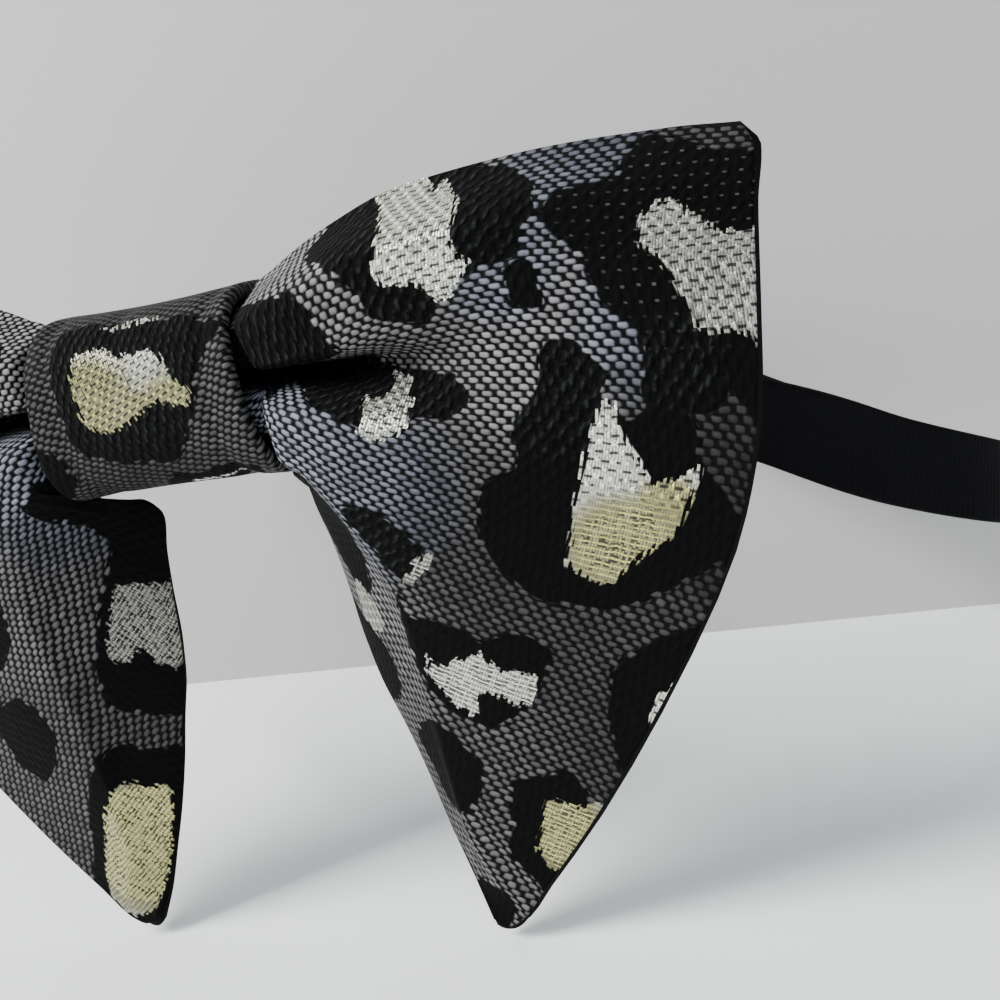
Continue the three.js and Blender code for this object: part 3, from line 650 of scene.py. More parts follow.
def smooth(places, values, at):
    """Monotone curve: a cubic between each two places, with the harmonic mean of the rises as slope.

    It never overshoots. The last axis holds the curve's places, the axes before it are matched.
    """
    places, values, at = (np.asarray(a, float) for a in (places, values, at))
    lead = np.broadcast_shapes(places.shape[:-1], values.shape[:-1], at.shape[:-1])
    places, values, at = (np.broadcast_to(a, lead + a.shape[-1:]) for a in (places, values, at))
    step = np.diff(places)
    rise = np.diff(values) / step
    before, after = rise[..., :-1], rise[..., 1:]
    near, far = 2 * step[..., 1:] + step[..., :-1], step[..., 1:] + 2 * step[..., :-1]
    same_way = before * after > 0
    mean = (near + far) / (near / np.where(same_way, before, 1) + far / np.where(same_way, after, 1))
    slope = np.concatenate([rise[..., :1], np.where(same_way, mean, 0), rise[..., -1:]], -1)
    cell = (at[..., :, None] > places[..., None, 1:-1]).sum(-1)

    def pick(array, shift=0):
        return np.take_along_axis(array, cell + shift, -1)

    width = pick(step)
    u = (at - pick(places)) / width
    share = u * u * (3 - 2 * u)
    pull = u * (1 - u) ** 2 * width * pick(slope) - u * u * (1 - u) * width * pick(slope, 1)
    return pick(values) * (1 - share) + pick(values, 1) * share + pull


def mix(start, end, share):
    """The value that lies share of the way from start to end."""
    return start + (end - start) * share


def unit(vectors):
    """Vectors of the same directions, one long."""
    return vectors / np.maximum(np.linalg.norm(vectors, axis=-1, keepdims=True), 1e-9)


def run_length(line):
    """How far along a line of points each of them lies."""
    return np.append(0, np.cumsum(np.linalg.norm(np.diff(line, axis=0), axis=1)))


def stretches(rows):
    """Places from 0 to 1, from short rows of start, end and number of steps."""
    places = [np.linspace(start, end, steps + 1)[:-1] for start, end, steps in rows]
    return np.append(np.concatenate(places), 1.0)


def between_folds(rows):
    """Places across the wing, fold lines at whole numbers, from short rows of steps and power."""
    places = [k + np.linspace(0, 1, steps + 1)[:-1] ** power for k, (steps, power) in enumerate(rows)]
    return np.append(np.concatenate(places), float(len(rows)))


def grid_cells(rows, cols):
    """The numbers of a grid's points, and those at the four corners of each of its cells."""
    ids = np.arange(rows * cols).reshape(rows, cols)
    return ids, [part.ravel() for part in (ids[:-1, :-1], ids[:-1, 1:], ids[1:, 1:], ids[1:, :-1])]


def wing_front(along, across):
    """Front face of the right wing: a grid of points, rows from root to rim.

    along runs from 0 at the root to 1 at the rim. across counts the fold lines: 0 is the top
    border, 1 to 4 the fold lines and 5 the inner edge. Each section is a straight line in X and Z
    plus its share of the rim's bulge; its depth is a smooth curve over the fold lines plus a
    bell-shaped tuck at the pleat.
    """
    def read(table, *names):
        return np.stack([smooth(table["at"], table[name], along) for name in names], -1)

    lines = read(FOLD_LINES, "upper", "pleat", "lower", "roll")
    start, end = np.zeros((len(along), 1)), np.ones((len(along), 1))
    t = smooth(np.arange(6.0)[None], np.hstack([start, lines, end]), across[None])
    top_x, top_z, edge_x, edge_z, bow, spread = read(
        WING_SECTIONS, "top_x", "top_z", "edge_x", "edge_z", "bow", "spread").T[:, :, None]
    pleat, roll = lines[:, 1:2], lines[:, 3:]
    bowed = smooth(np.hstack([start, roll, end]), np.array([[0.0, 1.0, 0.0]]), t)
    rim_x, rim_z = (smooth(WING_RIM["at"], WING_RIM[k], t) - mix(WING_RIM[k][0], WING_RIM[k][-1], t)
                    for k in "xz")
    behind = np.clip((t - roll) / (1 - roll), 0, 1)
    drawn = smooth(EDGE_SHIFT["at"], EDGE_SHIFT["shift"], along)[:, None] * behind * (2 - behind)
    x = mix(top_x, edge_x, t) + bow * bowed + spread * rim_x + drawn
    z = mix(top_z, edge_z, t) + spread * rim_z
    depths = read(FOLD_DEPTHS, "top", "upper", "pleat", "lower", "roll", "edge")
    at_roll, at_edge = depths[:, 4:5], depths[:, 5:]
    places = np.hstack([start, lines, mix(roll, 1, ROLL_TURN), end])
    y = smooth(places, np.hstack([depths[:, :5], mix(at_roll, at_edge, ROLL_SINK), at_edge]), t)
    off = (t - pleat) * np.hypot(top_x - edge_x, top_z - edge_z)
    depth, width = read(TUCK, "depth", "width").T[:, :, None]
    y = y + depth * np.exp(-(off / (width * np.where(off < 0, TUCK_ABOVE, TUCK_BELOW))) ** 2)
    return np.stack([x, y, z], -1)


def face_normals(grid):
    """Unit normals of a grid of points: the cross product of its steps across and along."""
    return unit(np.cross(np.gradient(grid, axis=1), np.gradient(grid, axis=0)))


def lay_flat(grid):
    """Lays a grid of points flat as cloth, each triangle keeping its own shape as nearly as it can.

    In turn, each triangle is turned to fit the flat points, and the flat points are solved so that
    the edges, weighted by the cotangents of the angles across them, fit the turned triangles.
    """
    _, (a, b, c, d) = grid_cells(*grid.shape[:2])
    tri = np.concatenate([np.stack(t, 1) for t in ((a, b, c), (a, c, d), (a, b, d), (b, c, d))])
    points = grid.reshape(-1, 3)
    first, second = points[tri[:, 1]] - points[tri[:, 0]], points[tri[:, 2]] - points[tri[:, 0]]
    length = np.linalg.norm(first, axis=1)
    own = np.zeros((len(tri), 3, 2))
    own[:, 1, 0] = length
    own[:, 2, 0] = (first * second).sum(1) / length
    own[:, 2, 1] = np.linalg.norm(np.cross(first, second), axis=1) / length
    sides = [((k + 1) % 3, (k + 2) % 3) for k in range(3)]
    weight = np.zeros((len(tri), 3))
    system = np.zeros((len(points), len(points)))
    for k, (i, j) in enumerate(sides):
        p, q = own[:, i] - own[:, k], own[:, j] - own[:, k]
        cotangent = (p * q).sum(1) / np.abs(p[:, 0] * q[:, 1] - p[:, 1] * q[:, 0])
        weight[:, k] = np.clip(cotangent, *COTANGENT_LIMITS)
        for row, col, sign in ((i, i, 1), (j, j, 1), (i, j, -1), (j, i, -1)):
            np.add.at(system, (tri[:, row], tri[:, col]), sign * weight[:, k])
    system[0, 0] += 1
    solve = np.linalg.inv(system)
    flat = points[:, [0, 2]]
    for _ in range(FLAT_ROUNDS):
        fit = np.zeros((len(tri), 2, 2))
        for k, (i, j) in enumerate(sides):
            side = flat[tri[:, j]] - flat[tri[:, i]]
            fit += weight[:, k, None, None] * side[:, :, None] * (own[:, j] - own[:, i])[:, None, :]
        turn = np.arctan2(fit[:, 1, 0] - fit[:, 0, 1], fit[:, 0, 0] + fit[:, 1, 1])
        cos, sin = np.cos(turn), np.sin(turn)
        pull = np.zeros_like(flat)
        for k, (i, j) in enumerate(sides):
            side = own[:, j] - own[:, i]
            turned = np.stack([cos * side[:, 0] - sin * side[:, 1], sin * side[:, 0] + cos * side[:, 1]], 1)
            np.add.at(pull, tri[:, j], turned * weight[:, k, None])
            np.add.at(pull, tri[:, i], -turned * weight[:, k, None])
        flat = solve @ pull
    return flat.reshape(*grid.shape[:2], 2)


def cloth_places(along, across):
    """Where the points of the wing's front face lie on the flat cloth, in mm.

    A coarse grid from the knot's rim outwards is laid flat, turned to the weave, and read between
    its points. The part inside the knot runs on straight.
    """
    rows, cols = stretches(FLAT_ROWS), between_folds(FLAT_COLUMNS)
    cos, sin = math.cos(CLOTH_TURN), math.sin(CLOTH_TURN)
    flat = lay_flat(wing_front(rows, cols)) @ np.array([[cos, sin], [-sin, cos]])
    flat = flat - flat[-1, 0] + np.array(CLOTH_CORNER)
    i = np.clip(np.searchsorted(rows, along, side="right") - 1, 0, len(rows) - 2)
    j = np.clip(np.searchsorted(cols, across, side="right") - 1, 0, len(cols) - 2)
    u = ((along - rows[i]) / (rows[i + 1] - rows[i]))[:, None, None]
    w = ((across - cols[j]) / (cols[j + 1] - cols[j]))[None, :, None]
    near, far = (mix(flat[np.ix_(i, j + k)], flat[np.ix_(i + 1, j + k)], u) for k in (0, 1))
    return mix(near, far, w)


def rounded(outline):
    """A closed outline drawn as a smooth curve through its corners (Catmull-Rom)."""
    p = np.array(outline, float)
    before, after, beyond = np.roll(p, 1, 0), np.roll(p, -1, 0), np.roll(p, -2, 0)
    u = np.linspace(0, 1, OUTLINE_STEPS, endpoint=False)[None, :, None]
    p, before, after, beyond = (q[:, None, :] for q in (p, before, after, beyond))
    curve = 0.5 * (2 * p + (after - before) * u + (2 * before - 5 * p + 4 * after - beyond) * u ** 2
                   + (3 * p - before - 3 * after + beyond) * u ** 3)
    return curve.reshape(-1, 2)


def distance_to_spots(places, outlines):
    """Distance in mm from each place on the cloth to the nearest spot's edge, negative inside it."""
    x, y = places.reshape(-1, 2).T
    best = np.full(x.shape, FAR)
    for outline in outlines:
        p = rounded(outline)
        low, high = p.min(0) - SPOT_MARGIN, p.max(0) + SPOT_MARGIN
        near = np.nonzero((x > low[0]) & (x < high[0]) & (y > low[1]) & (y < high[1]))[0]
        px, py = x[near], y[near]
        closest, inside = np.full(px.shape, FAR ** 2), np.zeros(px.shape, bool)
        for (ax, ay), (bx, by) in zip(p, np.roll(p, -1, 0)):
            dx, dy = bx - ax, by - ay
            t = np.clip(((px - ax) * dx + (py - ay) * dy) / max(dx * dx + dy * dy, 1e-9), 0, 1)
            closest = np.minimum(closest, (px - ax - t * dx) ** 2 + (py - ay - t * dy) ** 2)
            if ay != by:
                inside ^= ((ay > py) != (by > py)) & (px < ax + (py - ay) * dx / dy)
        best[near] = np.minimum(best[near], np.sqrt(closest) * np.where(inside, -1, 1))
    return best.reshape(places.shape[:-1])


def closed_sheet(front, back, rounding):
    """Two grids, front and back, closed into one body with a rounded border.

    Returns points, quads and the border's points. The border gets one line of points half-way
    round it, pushed out by rounding times half the thickness.
    """
    ids, (a, b, c, d) = grid_cells(*front.shape[:2])
    shift = ids.size
    quads = [np.stack([a, b, c, d], 1), np.stack([a, d, c, b], 1) + shift]
    border = np.concatenate([ids[0, :-1], ids[:-1, -1], ids[-1, :0:-1], ids[:0:-1, 0]])
    inner = np.concatenate([ids[1, :-1], ids[:-1, -2], ids[-2, :0:-1], ids[:0:-1, 1]])
    f, r = front.reshape(-1, 3), back.reshape(-1, 3)
    middle = (f + r) / 2
    out = unit(middle[border] - middle[inner])
    half = np.linalg.norm(f[border] - r[border], axis=1, keepdims=True) / 2
    rim_ids = 2 * shift + np.arange(len(border))
    following, rim_following = np.roll(border, -1), np.roll(rim_ids, -1)
    quads.append(np.stack([following, border, rim_ids, rim_following], 1))
    quads.append(np.stack([rim_following, rim_ids, border + shift, following + shift], 1))
    return np.concatenate([f, r, middle[border] + out * half * rounding]), np.concatenate(quads), border


def make_mesh(name, points, quads, attributes=None, uv=None, uv_quads=None):
    """A smooth-shaded mesh object from points in mm, with values for its points and its UV map.

    The faces are turned outwards: the volume inside them has to come out positive. uv_quads picks
    the places of uv for the corners of each face, where these aren't the points themselves.
    """
    uv_quads = quads if uv_quads is None else uv_quads
    a, b, c, d = (points[quads[:, k]] for k in range(4))
    if (np.cross(b - a, c - a) * a + np.cross(c - a, d - a) * a).sum() < 0:
        quads, uv_quads = quads[:, ::-1], uv_quads[:, ::-1]
    mesh = bpy.data.meshes.new(name)
    mesh.vertices.add(len(points))
    mesh.vertices.foreach_set("co", (points * MM).astype(np.float32).ravel())
    mesh.loops.add(quads.size)
    mesh.loops.foreach_set("vertex_index", quads.astype(np.int32).ravel())
    mesh.polygons.add(len(quads))
    mesh.polygons.foreach_set("loop_start", np.arange(0, quads.size, 4, dtype=np.int32))
    mesh.polygons.foreach_set("use_smooth", np.ones(len(quads), bool))
    mesh.update(calc_edges=True)
    for key, values in (attributes or {}).items():
        layer = mesh.attributes.new(key, "FLOAT", "POINT")
        layer.data.foreach_set("value", np.asarray(values, np.float32).ravel())
    if uv is not None:
        layer = mesh.uv_layers.new(name="cloth")
        layer.data.foreach_set("uv", uv[uv_quads.ravel()].astype(np.float32).ravel())
    piece = bpy.data.objects.new(name, mesh)
    bpy.context.scene.collection.objects.link(piece)
    return piece


def area_share(places, areas):
    """How far each place on the cloth lies inside a few round areas: 1 in their middle, 0 outside."""
    share = np.zeros(places.shape[:-1])
    for x, y, reach in areas:
        away = np.hypot(places[..., 0] - x, places[..., 1] - y) / reach
        share = np.maximum(share, np.clip((1 - away) * AREA_FADE, 0, 1))
    return share


def painted_light_at(places, tones):
    """Painted light and shade: a mean of places' values, each weighed by a bell curve of its distance."""
    x, y, tone = np.array(tones, float).T
    away = (places[..., 0, None] - x) ** 2 + (places[..., 1, None] - y) ** 2
    weight = np.exp(-away / (2 * PAINTED_LIGHT_REACH ** 2)) + 1e-9
    return (weight * tone).sum(-1) / weight.sum(-1)


def pattern(places, cloth):
    """The values of the pattern at places on the flat cloth, as the cloth's material reads them."""
    values = {"spot": distance_to_spots(places, cloth["black"]),
              "metal": distance_to_spots(places, cloth["metal"])}
    for name in ("gold", "lined", "ribbed", "pinned", "cool"):
        values[name] = area_share(places, cloth[name])
    # light and shine are painted light and shade, of the dots and of the metal.
    for name in ("light", "shine"):
        values[name] = painted_light_at(places, cloth[name])
    return values


def weave_places(places, turns):
    """Where the weave's threads run: places turned round one point, by more or less up the cloth.

    In the gathered shoulder by the knot the threads lie closer together: x - more * s * log(1 +
    exp((from - x) / s)), which fades in with the height.
    """
    turn = np.radians(np.interp(places[..., 1], *np.array(turns, float).T))
    x, y = places[..., 0] - WEAVE_CENTRE[0], places[..., 1] - WEAVE_CENTRE[1]
    gathered = SHOULDER_SOFT * np.logaddexp(0, (SHOULDER_FROM - places[..., 0]) / SHOULDER_SOFT)
    low, high = SHOULDER_HEIGHTS
    x = x - SHOULDER_MORE * gathered * np.clip((places[..., 1] - low) / (high - low), 0, 1)
    return np.stack([x * np.cos(turn) - y * np.sin(turn), x * np.sin(turn) + y * np.cos(turn)], -1)


def wing_pattern(front, along, across, places, cloth):
    """The pattern's values on a wing: painted shade in the depth of the pleat, and the lining's edge black.
    """
    values = pattern(places, cloth)
    # Painted shade on the dots deep in the pleat's tuck.
    in_tuck = (along[:, None] < TUCK_DARK_TO) & (np.abs(across[None] - PLEAT_LINE) < TUCK_DARK_SIDE)
    values["light"] = values["light"] * np.where(in_tuck, np.interp(front[..., 1], *TUCK_DARKNESS), 1)
    # Painted shade on the dots right beside the knot in the pleat.
    shaded = (along[:, None] < SHADED_TO) & (np.abs(across[None] - SHADED_MIDDLE) < SHADED_SIDE)
    values["light"] = np.where(shaded, SHADED_LIGHT, values["light"])
    steps = np.linalg.norm(np.diff(front, axis=1), axis=2)
    to_edge = np.cumsum(np.pad(steps, ((0, 0), (0, 1)))[:, ::-1], axis=1)[:, ::-1]
    values["spot"] = np.minimum(values["spot"], to_edge - np.interp(along, *EDGING)[:, None])
    return values


def make_wing(side, tables):
    """One wing: the patterned cloth in front and the lining behind it. side is 1 right, -1 left."""
    name = "right" if side > 0 else "left"
    along, across = stretches(WING_ROWS), between_folds(WING_COLUMNS)
    front = wing_front(along, across)
    normal = face_normals(front)
    places = cloth_places(along, across)
    threads = weave_places(places, tables["turn"])
    hand = np.array([side, 1, 1])

    def layer(label, skip, start, thickness, rounding, values):
        keep = np.ix_(*(np.unique(np.append(np.arange(0, n, skip), n - 1)) for n in front.shape[:2]))
        outer = front[keep] - normal[keep] * start
        points, quads, border = closed_sheet(outer, outer - normal[keep] * thickness, rounding)
        on_points = {}
        for key, value in values.items():
            behind = np.concatenate([value.ravel(), value.ravel()[border]])
            behind[:] = SEWN_EDGE.get(key, behind)
            on_points[key] = np.concatenate([value.ravel(), behind])
        flat = threads[keep].reshape(-1, 2)
        uv = np.concatenate([flat, flat, flat[border]])
        return make_mesh(f"{label}_{name}", points * hand, quads, on_points, uv)

    values = wing_pattern(front, along, across, places, tables)
    cloth = layer("wing_cloth", 1, 0, CLOTH_THICKNESS, CLOTH_ROUNDING, values)
    start = CLOTH_THICKNESS + LAYER_GAP
    lining = layer("wing_lining", LINING_SKIP, start, LINING_THICKNESS, LINING_REACH, {})
    return cloth, lining


def ring_quads(rings, size):
    """The quads of a ring-shaped body of rings of points, and the same with the rings not closed."""
    k, i = (part.ravel() for part in np.meshgrid(np.arange(rings), np.arange(size), indexing="ij"))
    j = (i + 1) % size
    after = (k + 1) % rings
    closed = [k * size + i, k * size + j, after * size + j, after * size + i]
    opened = [k * size + i, k * size + j, (k + 1) * size + j, (k + 1) * size + i]
    return np.stack(closed, 1), np.stack(opened, 1)


def wall_section(half_length, wall, steps, lip_steps):
    """A wall's section: out along its outside, round one lip, back along its inside, and round.

    Returns how far along each point lies, and how far in from the outside.
    """
    straight = half_length - wall / 2
    run = np.linspace(-straight, straight, steps + 1)
    turn = np.linspace(0, math.pi, lip_steps + 2)[1:-1]
    bulge, sink = np.sin(turn) * wall / 2, (1 - np.cos(turn)) * wall / 2
    along = np.concatenate([run, straight + bulge, run[::-1], -straight - bulge])
    inset = np.concatenate([0 * run, sink, 0 * run + wall, sink[::-1]])
    return along, inset


def make_knot():
    """The knot's band: a wall carried once round a rounded oblong, flat at the back.

    The oblong is a superellipse, fuller in front. The band is creased a little where it is pulled.
    """
    along, inset = wall_section(KNOT_HALF_WIDTH, KNOT_WALL, *KNOT_STEPS)
    angle = (2 * math.pi * (np.arange(KNOT_RINGS + 1) + 0.5) / KNOT_RINGS - math.pi)[:, None]
    forward, upward = np.cos(angle), np.sin(angle)
    power = 2 / np.where(forward > 0, KNOT_FRONT_ROUNDNESS, KNOT_BACK_ROUNDNESS)
    deep, high = (np.sign(share) * np.abs(share) ** power for share in (forward, upward))
    share = along / KNOT_HALF_WIDTH
    tall = mix(KNOT_HALF_HEIGHT_MIDDLE, KNOT_HALF_HEIGHT_RIM, share ** 2)
    in_front = np.clip(forward * CREASE_FADE, 0, 1) * np.clip(1 - inset / KNOT_WALL, 0, 1)
    creases = sum(depth * np.exp(-((along - middle - shift * high * tall) / width) ** 2)
                  for middle, shift, depth, width in KNOT_CREASES)
    inward = inset + creases * in_front
    height = high * (tall - inward)
    points = np.stack([along - share * KNOT_SLANT * height / tall,
                       -KNOT_HALF_DEPTH - deep * (KNOT_HALF_DEPTH - inward),
                       KNOT_CENTRE_Z + height], -1)
    arc = run_length(points[:, len(along) // 4])
    arc = arc - arc[KNOT_RINGS // 2]
    places = np.stack(np.broadcast_arrays(along[None], arc[:, None]), -1)
    on_points = {key: values[:-1] for key, values in pattern(places, KNOT_CLOTH).items()}
    threads = weave_places(places, KNOT_CLOTH["turn"]) * KNOT_GATHER
    quads, opened = ring_quads(KNOT_RINGS, len(along))
    points = points[:-1].reshape(-1, 3)
    return make_mesh("knot_band", points, quads, on_points, threads.reshape(-1, 2), opened)


def strap_line():
    """Points, directions and leans along the strap's closed route.

    A centripetal Catmull-Rom curve: each stretch is a cubic whose end slopes weigh the stretches
    beside it by the square roots of their lengths.
    """
    route = np.stack([STRAP_ROUTE[k] for k in "xyz"], 1)
    p0, p1, p2, p3 = (np.roll(route, shift, 0) for shift in (1, 0, -1, -2))
    d0, d1, d2 = (np.sqrt(np.linalg.norm(b - a, axis=1, keepdims=True))
                  for a, b in ((p0, p1), (p1, p2), (p2, p3)))
    start = d1 * ((p1 - p0) / d0 - (p2 - p0) / (d0 + d1) + (p2 - p1) / d1)
    end = d1 * ((p2 - p1) / d1 - (p3 - p1) / (d1 + d2) + (p3 - p2) / d2)
    square, cube = 3 * (p2 - p1) - 2 * start - end, 2 * (p1 - p2) + start + end
    u = (np.arange(STRAP_STEPS) / STRAP_STEPS)[None, :, None]
    p1, start, square, cube = (q[:, None] for q in (p1, start, square, cube))
    points = (p1 + start * u + square * u ** 2 + cube * u ** 3).reshape(-1, 3)
    run = unit((start + 2 * square * u + 3 * cube * u ** 2).reshape(-1, 3))
    leans = np.append(STRAP_ROUTE["lean"], STRAP_ROUTE["lean"][0])
    lean = smooth(np.arange(len(leans)), leans, np.arange(len(points)) / STRAP_STEPS)
    return points, run, np.radians(lean)


def strap_frame(run, lean):
    """The directions in which the strap stands and faces, from its run and its lean."""
    up = unit(np.array([0, 0, 1.0]) - run * run[:, 2:])
    cos, sin = np.cos(lean)[:, None], np.sin(lean)[:, None]
    up = up * cos + np.cross(run, up) * sin
    return up, np.cross(run, up)


def rounded_oblong(half_height, half_depth, radius, corner_steps, side_steps):
    """Points round an oblong with round corners, as heights and depths."""
    turn = np.linspace(0, math.pi / 2, corner_steps + 1)
    corner = np.array([half_height - radius, half_depth - radius]) + radius * np.stack(
        [np.cos(turn), np.sin(turn)], 1)
    across = np.linspace(1, -1, side_steps + 1)[1:-1, None]
    side = np.hstack([across * (half_height - radius), 0 * across + half_depth])
    half = np.concatenate([corner, side, (corner * [-1, 1])[::-1]])
    return np.concatenate([half, -half])


def make_strap():
    """The neck strap: a woven band with rounded edges along its closed route, and its length."""
    points, run, lean = strap_line()
    up, out = strap_frame(run, lean)
    section = rounded_oblong(STRAP_WIDTH / 2, STRAP_THICKNESS / 2, STRAP_EDGE_RADIUS, *STRAP_SECTION)
    body = points[:, None] + up[:, None] * section[None, :, :1] + out[:, None] * section[None, :, 1:]
    length = run_length(np.vstack([points, points[:1]]))
    places = np.stack(np.broadcast_arrays(length[:, None], section[None, :, 0]), -1)
    quads, opened = ring_quads(len(points), len(section))
    strap = make_mesh("neck_strap", body.reshape(-1, 3), quads, None, places.reshape(-1, 2), opened)
    return strap, length[-1]


def make_clasp():
    """The clasp: a flat sleeve with rounded corners and edges round the back of the strap."""
    points, run, lean = strap_line()
    at = CLASP_ROW * STRAP_STEPS
    up, out = strap_frame(run[at:at + 1], lean[at:at + 1])
    along, inset = wall_section(CLASP_LENGTH / 2, CLASP_WALL, *CLASP_STEPS)
    room = CLASP_CLEARANCE + CLASP_WALL
    rings = []
    for sink_in, place in zip(inset, along):
        radius = max(CLASP_CORNER - sink_in, CLASP_CORNER - CLASP_WALL)
        section = rounded_oblong(STRAP_WIDTH / 2 + room - sink_in, STRAP_THICKNESS / 2 + room - sink_in,
                                 radius, *CLASP_SECTION)
        rings.append(points[at] + section[:, :1] * up + section[:, 1:] * out + place * run[at])
    quads, _ = ring_quads(len(rings), len(rings[0]))
    return make_mesh("strap_clasp", np.concatenate(rings), quads)


class Result:
    """What a node gives, so that sums of such results can be written as in arithmetic."""

    def __init__(self, socket):
        self.socket = socket

    def __add__(self, other):
        return maths("ADD", self, other)

    def __sub__(self, other):
        return maths("SUBTRACT", self, other)

    def __rsub__(self, other):
        return maths("SUBTRACT", other, self)

    def __mul__(self, other):
        return maths("MULTIPLY", self, other)

    def __truediv__(self, other):
        return maths("DIVIDE", self, other)

    def __pow__(self, other):
        return maths("POWER", self, other)


def feed(socket, value):
    """Sets a node's socket to a number or a colour, or feeds it from another node's result."""
    if isinstance(value, Result):
        socket.id_data.links.new(value.socket, socket)
    else:
        socket.default_value = (*value, 1) if isinstance(value, tuple) else value


def add_node(kind, given, output=0, **settings):
    """A node beside the ones that feed it. given holds its inputs by label or by number."""
    tree = next(value.socket.id_data for value in given.values() if isinstance(value, Result))
    node = tree.nodes.new(f"ShaderNode{kind}")
    for label, setting in settings.items():
        setattr(node, label, setting)
    for label, value in given.items():
        feed(node.inputs[label], value)
    return Result(node.outputs[output])


def maths(operation, *values):
    """One step of arithmetic."""
    return add_node("Math", dict(enumerate(values)), operation=operation)


def size_of(value):
    """A number without its sign."""
    return maths("ABSOLUTE", value)


def ease(value, low, high, to_low=0.0, to_high=1.0):
    """A value eased from to_low at low to to_high at high."""
    given = {"Value": value, "From Min": low, "From Max": high, "To Min": to_low, "To Max": to_high}
    return add_node("MapRange", given, "Result", interpolation_type="SMOOTHSTEP")


def fade(value, low, high):
    """A value eased from 1 at low to 0 at high."""
    return ease(value, low, high, 1.0, 0.0)


def blend(share, first, second):
    """Two colours mixed."""
    return add_node("Mix", {0: share, 6: first, 7: second}, 2, data_type="RGBA")


def between(share, first, second):
    """Two numbers mixed."""
    return add_node("Mix", {0: share, 2: first, 3: second})


def chance(x, y):
    """A number from 0 to 1, drawn for each pair of whole numbers."""
    pair = add_node("CombineXYZ", {0: x, 1: y})
    return add_node("TexWhiteNoise", {"Vector": pair}, "Value", noise_dimensions="2D")


def cloud(place, scale, detail=2.0):
    """Soft noise round 0.5."""
    return add_node("TexNoise", {"Vector": place, "Scale": scale, "Detail": detail}, "Fac")


def split(place):
    """The two numbers of a place."""
    return [add_node("SeparateXYZ", {0: place}, k) for k in (0, 1)]


def bump(relief, depth):
    """A normal bent by a relief of the given depth in mm."""
    return add_node("Bump", {"Strength": 1.0, "Distance": depth * MM, "Height": relief})


def stored(tree, name):
    """A value that the mesh holds for its points."""
    node = tree.nodes.new("ShaderNodeAttribute")
    node.attribute_name = name
    return Result(node.outputs["Fac"])


def cloth_place(tree):
    """Where a point lies on the flat cloth, in mm, from the piece's own UV map."""
    node = tree.nodes.new("ShaderNodeUVMap")
    node.uv_map = "cloth"
    return Result(node.outputs[0])


def new_group(name, inputs, outputs):
    """An empty node group, the results that come into it, and the sockets that lead out of it."""
    tree = bpy.data.node_groups.new(name, "ShaderNodeTree")
    kinds = {"Place": "NodeSocketVector", "Colour": "NodeSocketColor"}
    for way, labels in (("INPUT", inputs), ("OUTPUT", outputs)):
        for label in labels:
            tree.interface.new_socket(label, in_out=way, socket_type=kinds.get(label, "NodeSocketFloat"))
    coming = tree.nodes.new("NodeGroupInput").outputs
    leading = tree.nodes.new("NodeGroupOutput").inputs
    return tree, [Result(coming[label]) for label in inputs], [leading[label] for label in outputs]


def use_group(group, outputs, **given):
    """One use of a node group, beside the node that gives its place. Returns the outputs asked for."""
    node = given["place"].socket.id_data.nodes.new("ShaderNodeGroup")
    node.node_tree = group
    for label, value in given.items():
        feed(node.inputs[label.capitalize()], value)
    return [Result(node.outputs[label]) for label in outputs]


def brick_place(x, y, repeat, row_height):
    """Rows of bricks, every second row moved by half a brick: place in the brick, and its numbers.

    The place runs from -0.5 to 0.5 across the brick and up its row.
    """
    level = y / row_height
    row = maths("FLOOR", level)
    run = row * 0.5 + x / repeat
    brick = maths("FLOOR", run)
    return run - brick - 0.5, level - row - 0.5, brick, row


def basket_weave():
    """Light rounded dots in rows, like bricks: each a superellipse with a domed top.

    Dots says where they are, Relief how high the cloth stands, Shade is painted shade in and between
    dots, lighter on a dot's upper side and darker towards its edge, with a tone drawn for each dot,
    Chance is drawn for each dot, and Pins are much smaller dots at every second one's place.
    """
    group, (place,), (dots, relief, shade, lot, pins) = new_group(
        "basket weave", ["Place"], ["Dots", "Relief", "Shade", "Chance", "Pins"])
    drift = (cloud(place, WANDER_SCALE) - 0.5) * WEAVE_WANDER
    x, y = split(place)
    across, up, brick, row = brick_place(x + drift, y + drift, DOT_REPEAT, ROW_HEIGHT)
    up = across * DOT_SLANT + up
    drawn = chance(brick, row)
    wide, high = size_of(across) / DOT_HALF_WIDTH, size_of(up) / DOT_HALF_HEIGHT
    away = wide ** DOT_POWER + high ** DOT_POWER
    feed(dots, fade(away, *DOT_EDGE))
    feed(relief, maths("SQRT", maths("MAXIMUM", 1.0 - away, 0.0)))
    # Painted shade: each dot lighter in its middle and darker towards its edge, times its fine grain.
    rounding = ease(away, *DOT_LIGHT) * (cloud(place, GRAIN_SCALE) + 0.5)
    # Painted light on each dot's upper side, times a tone drawn for each dot.
    upper_light_and_lot = (up * DOT_LIT_ABOVE + 1.0) * (drawn * DOT_SPREAD + DOT_LEAST)
    feed(shade, rounding * upper_light_and_lot)
    feed(lot, drawn)
    every_second = maths("PINGPONG", row, 1.0)
    feed(pins, fade(away, *PIN_EDGE) * (drawn * PIN_SPREAD + PIN_LEAST) * every_second)
    return group


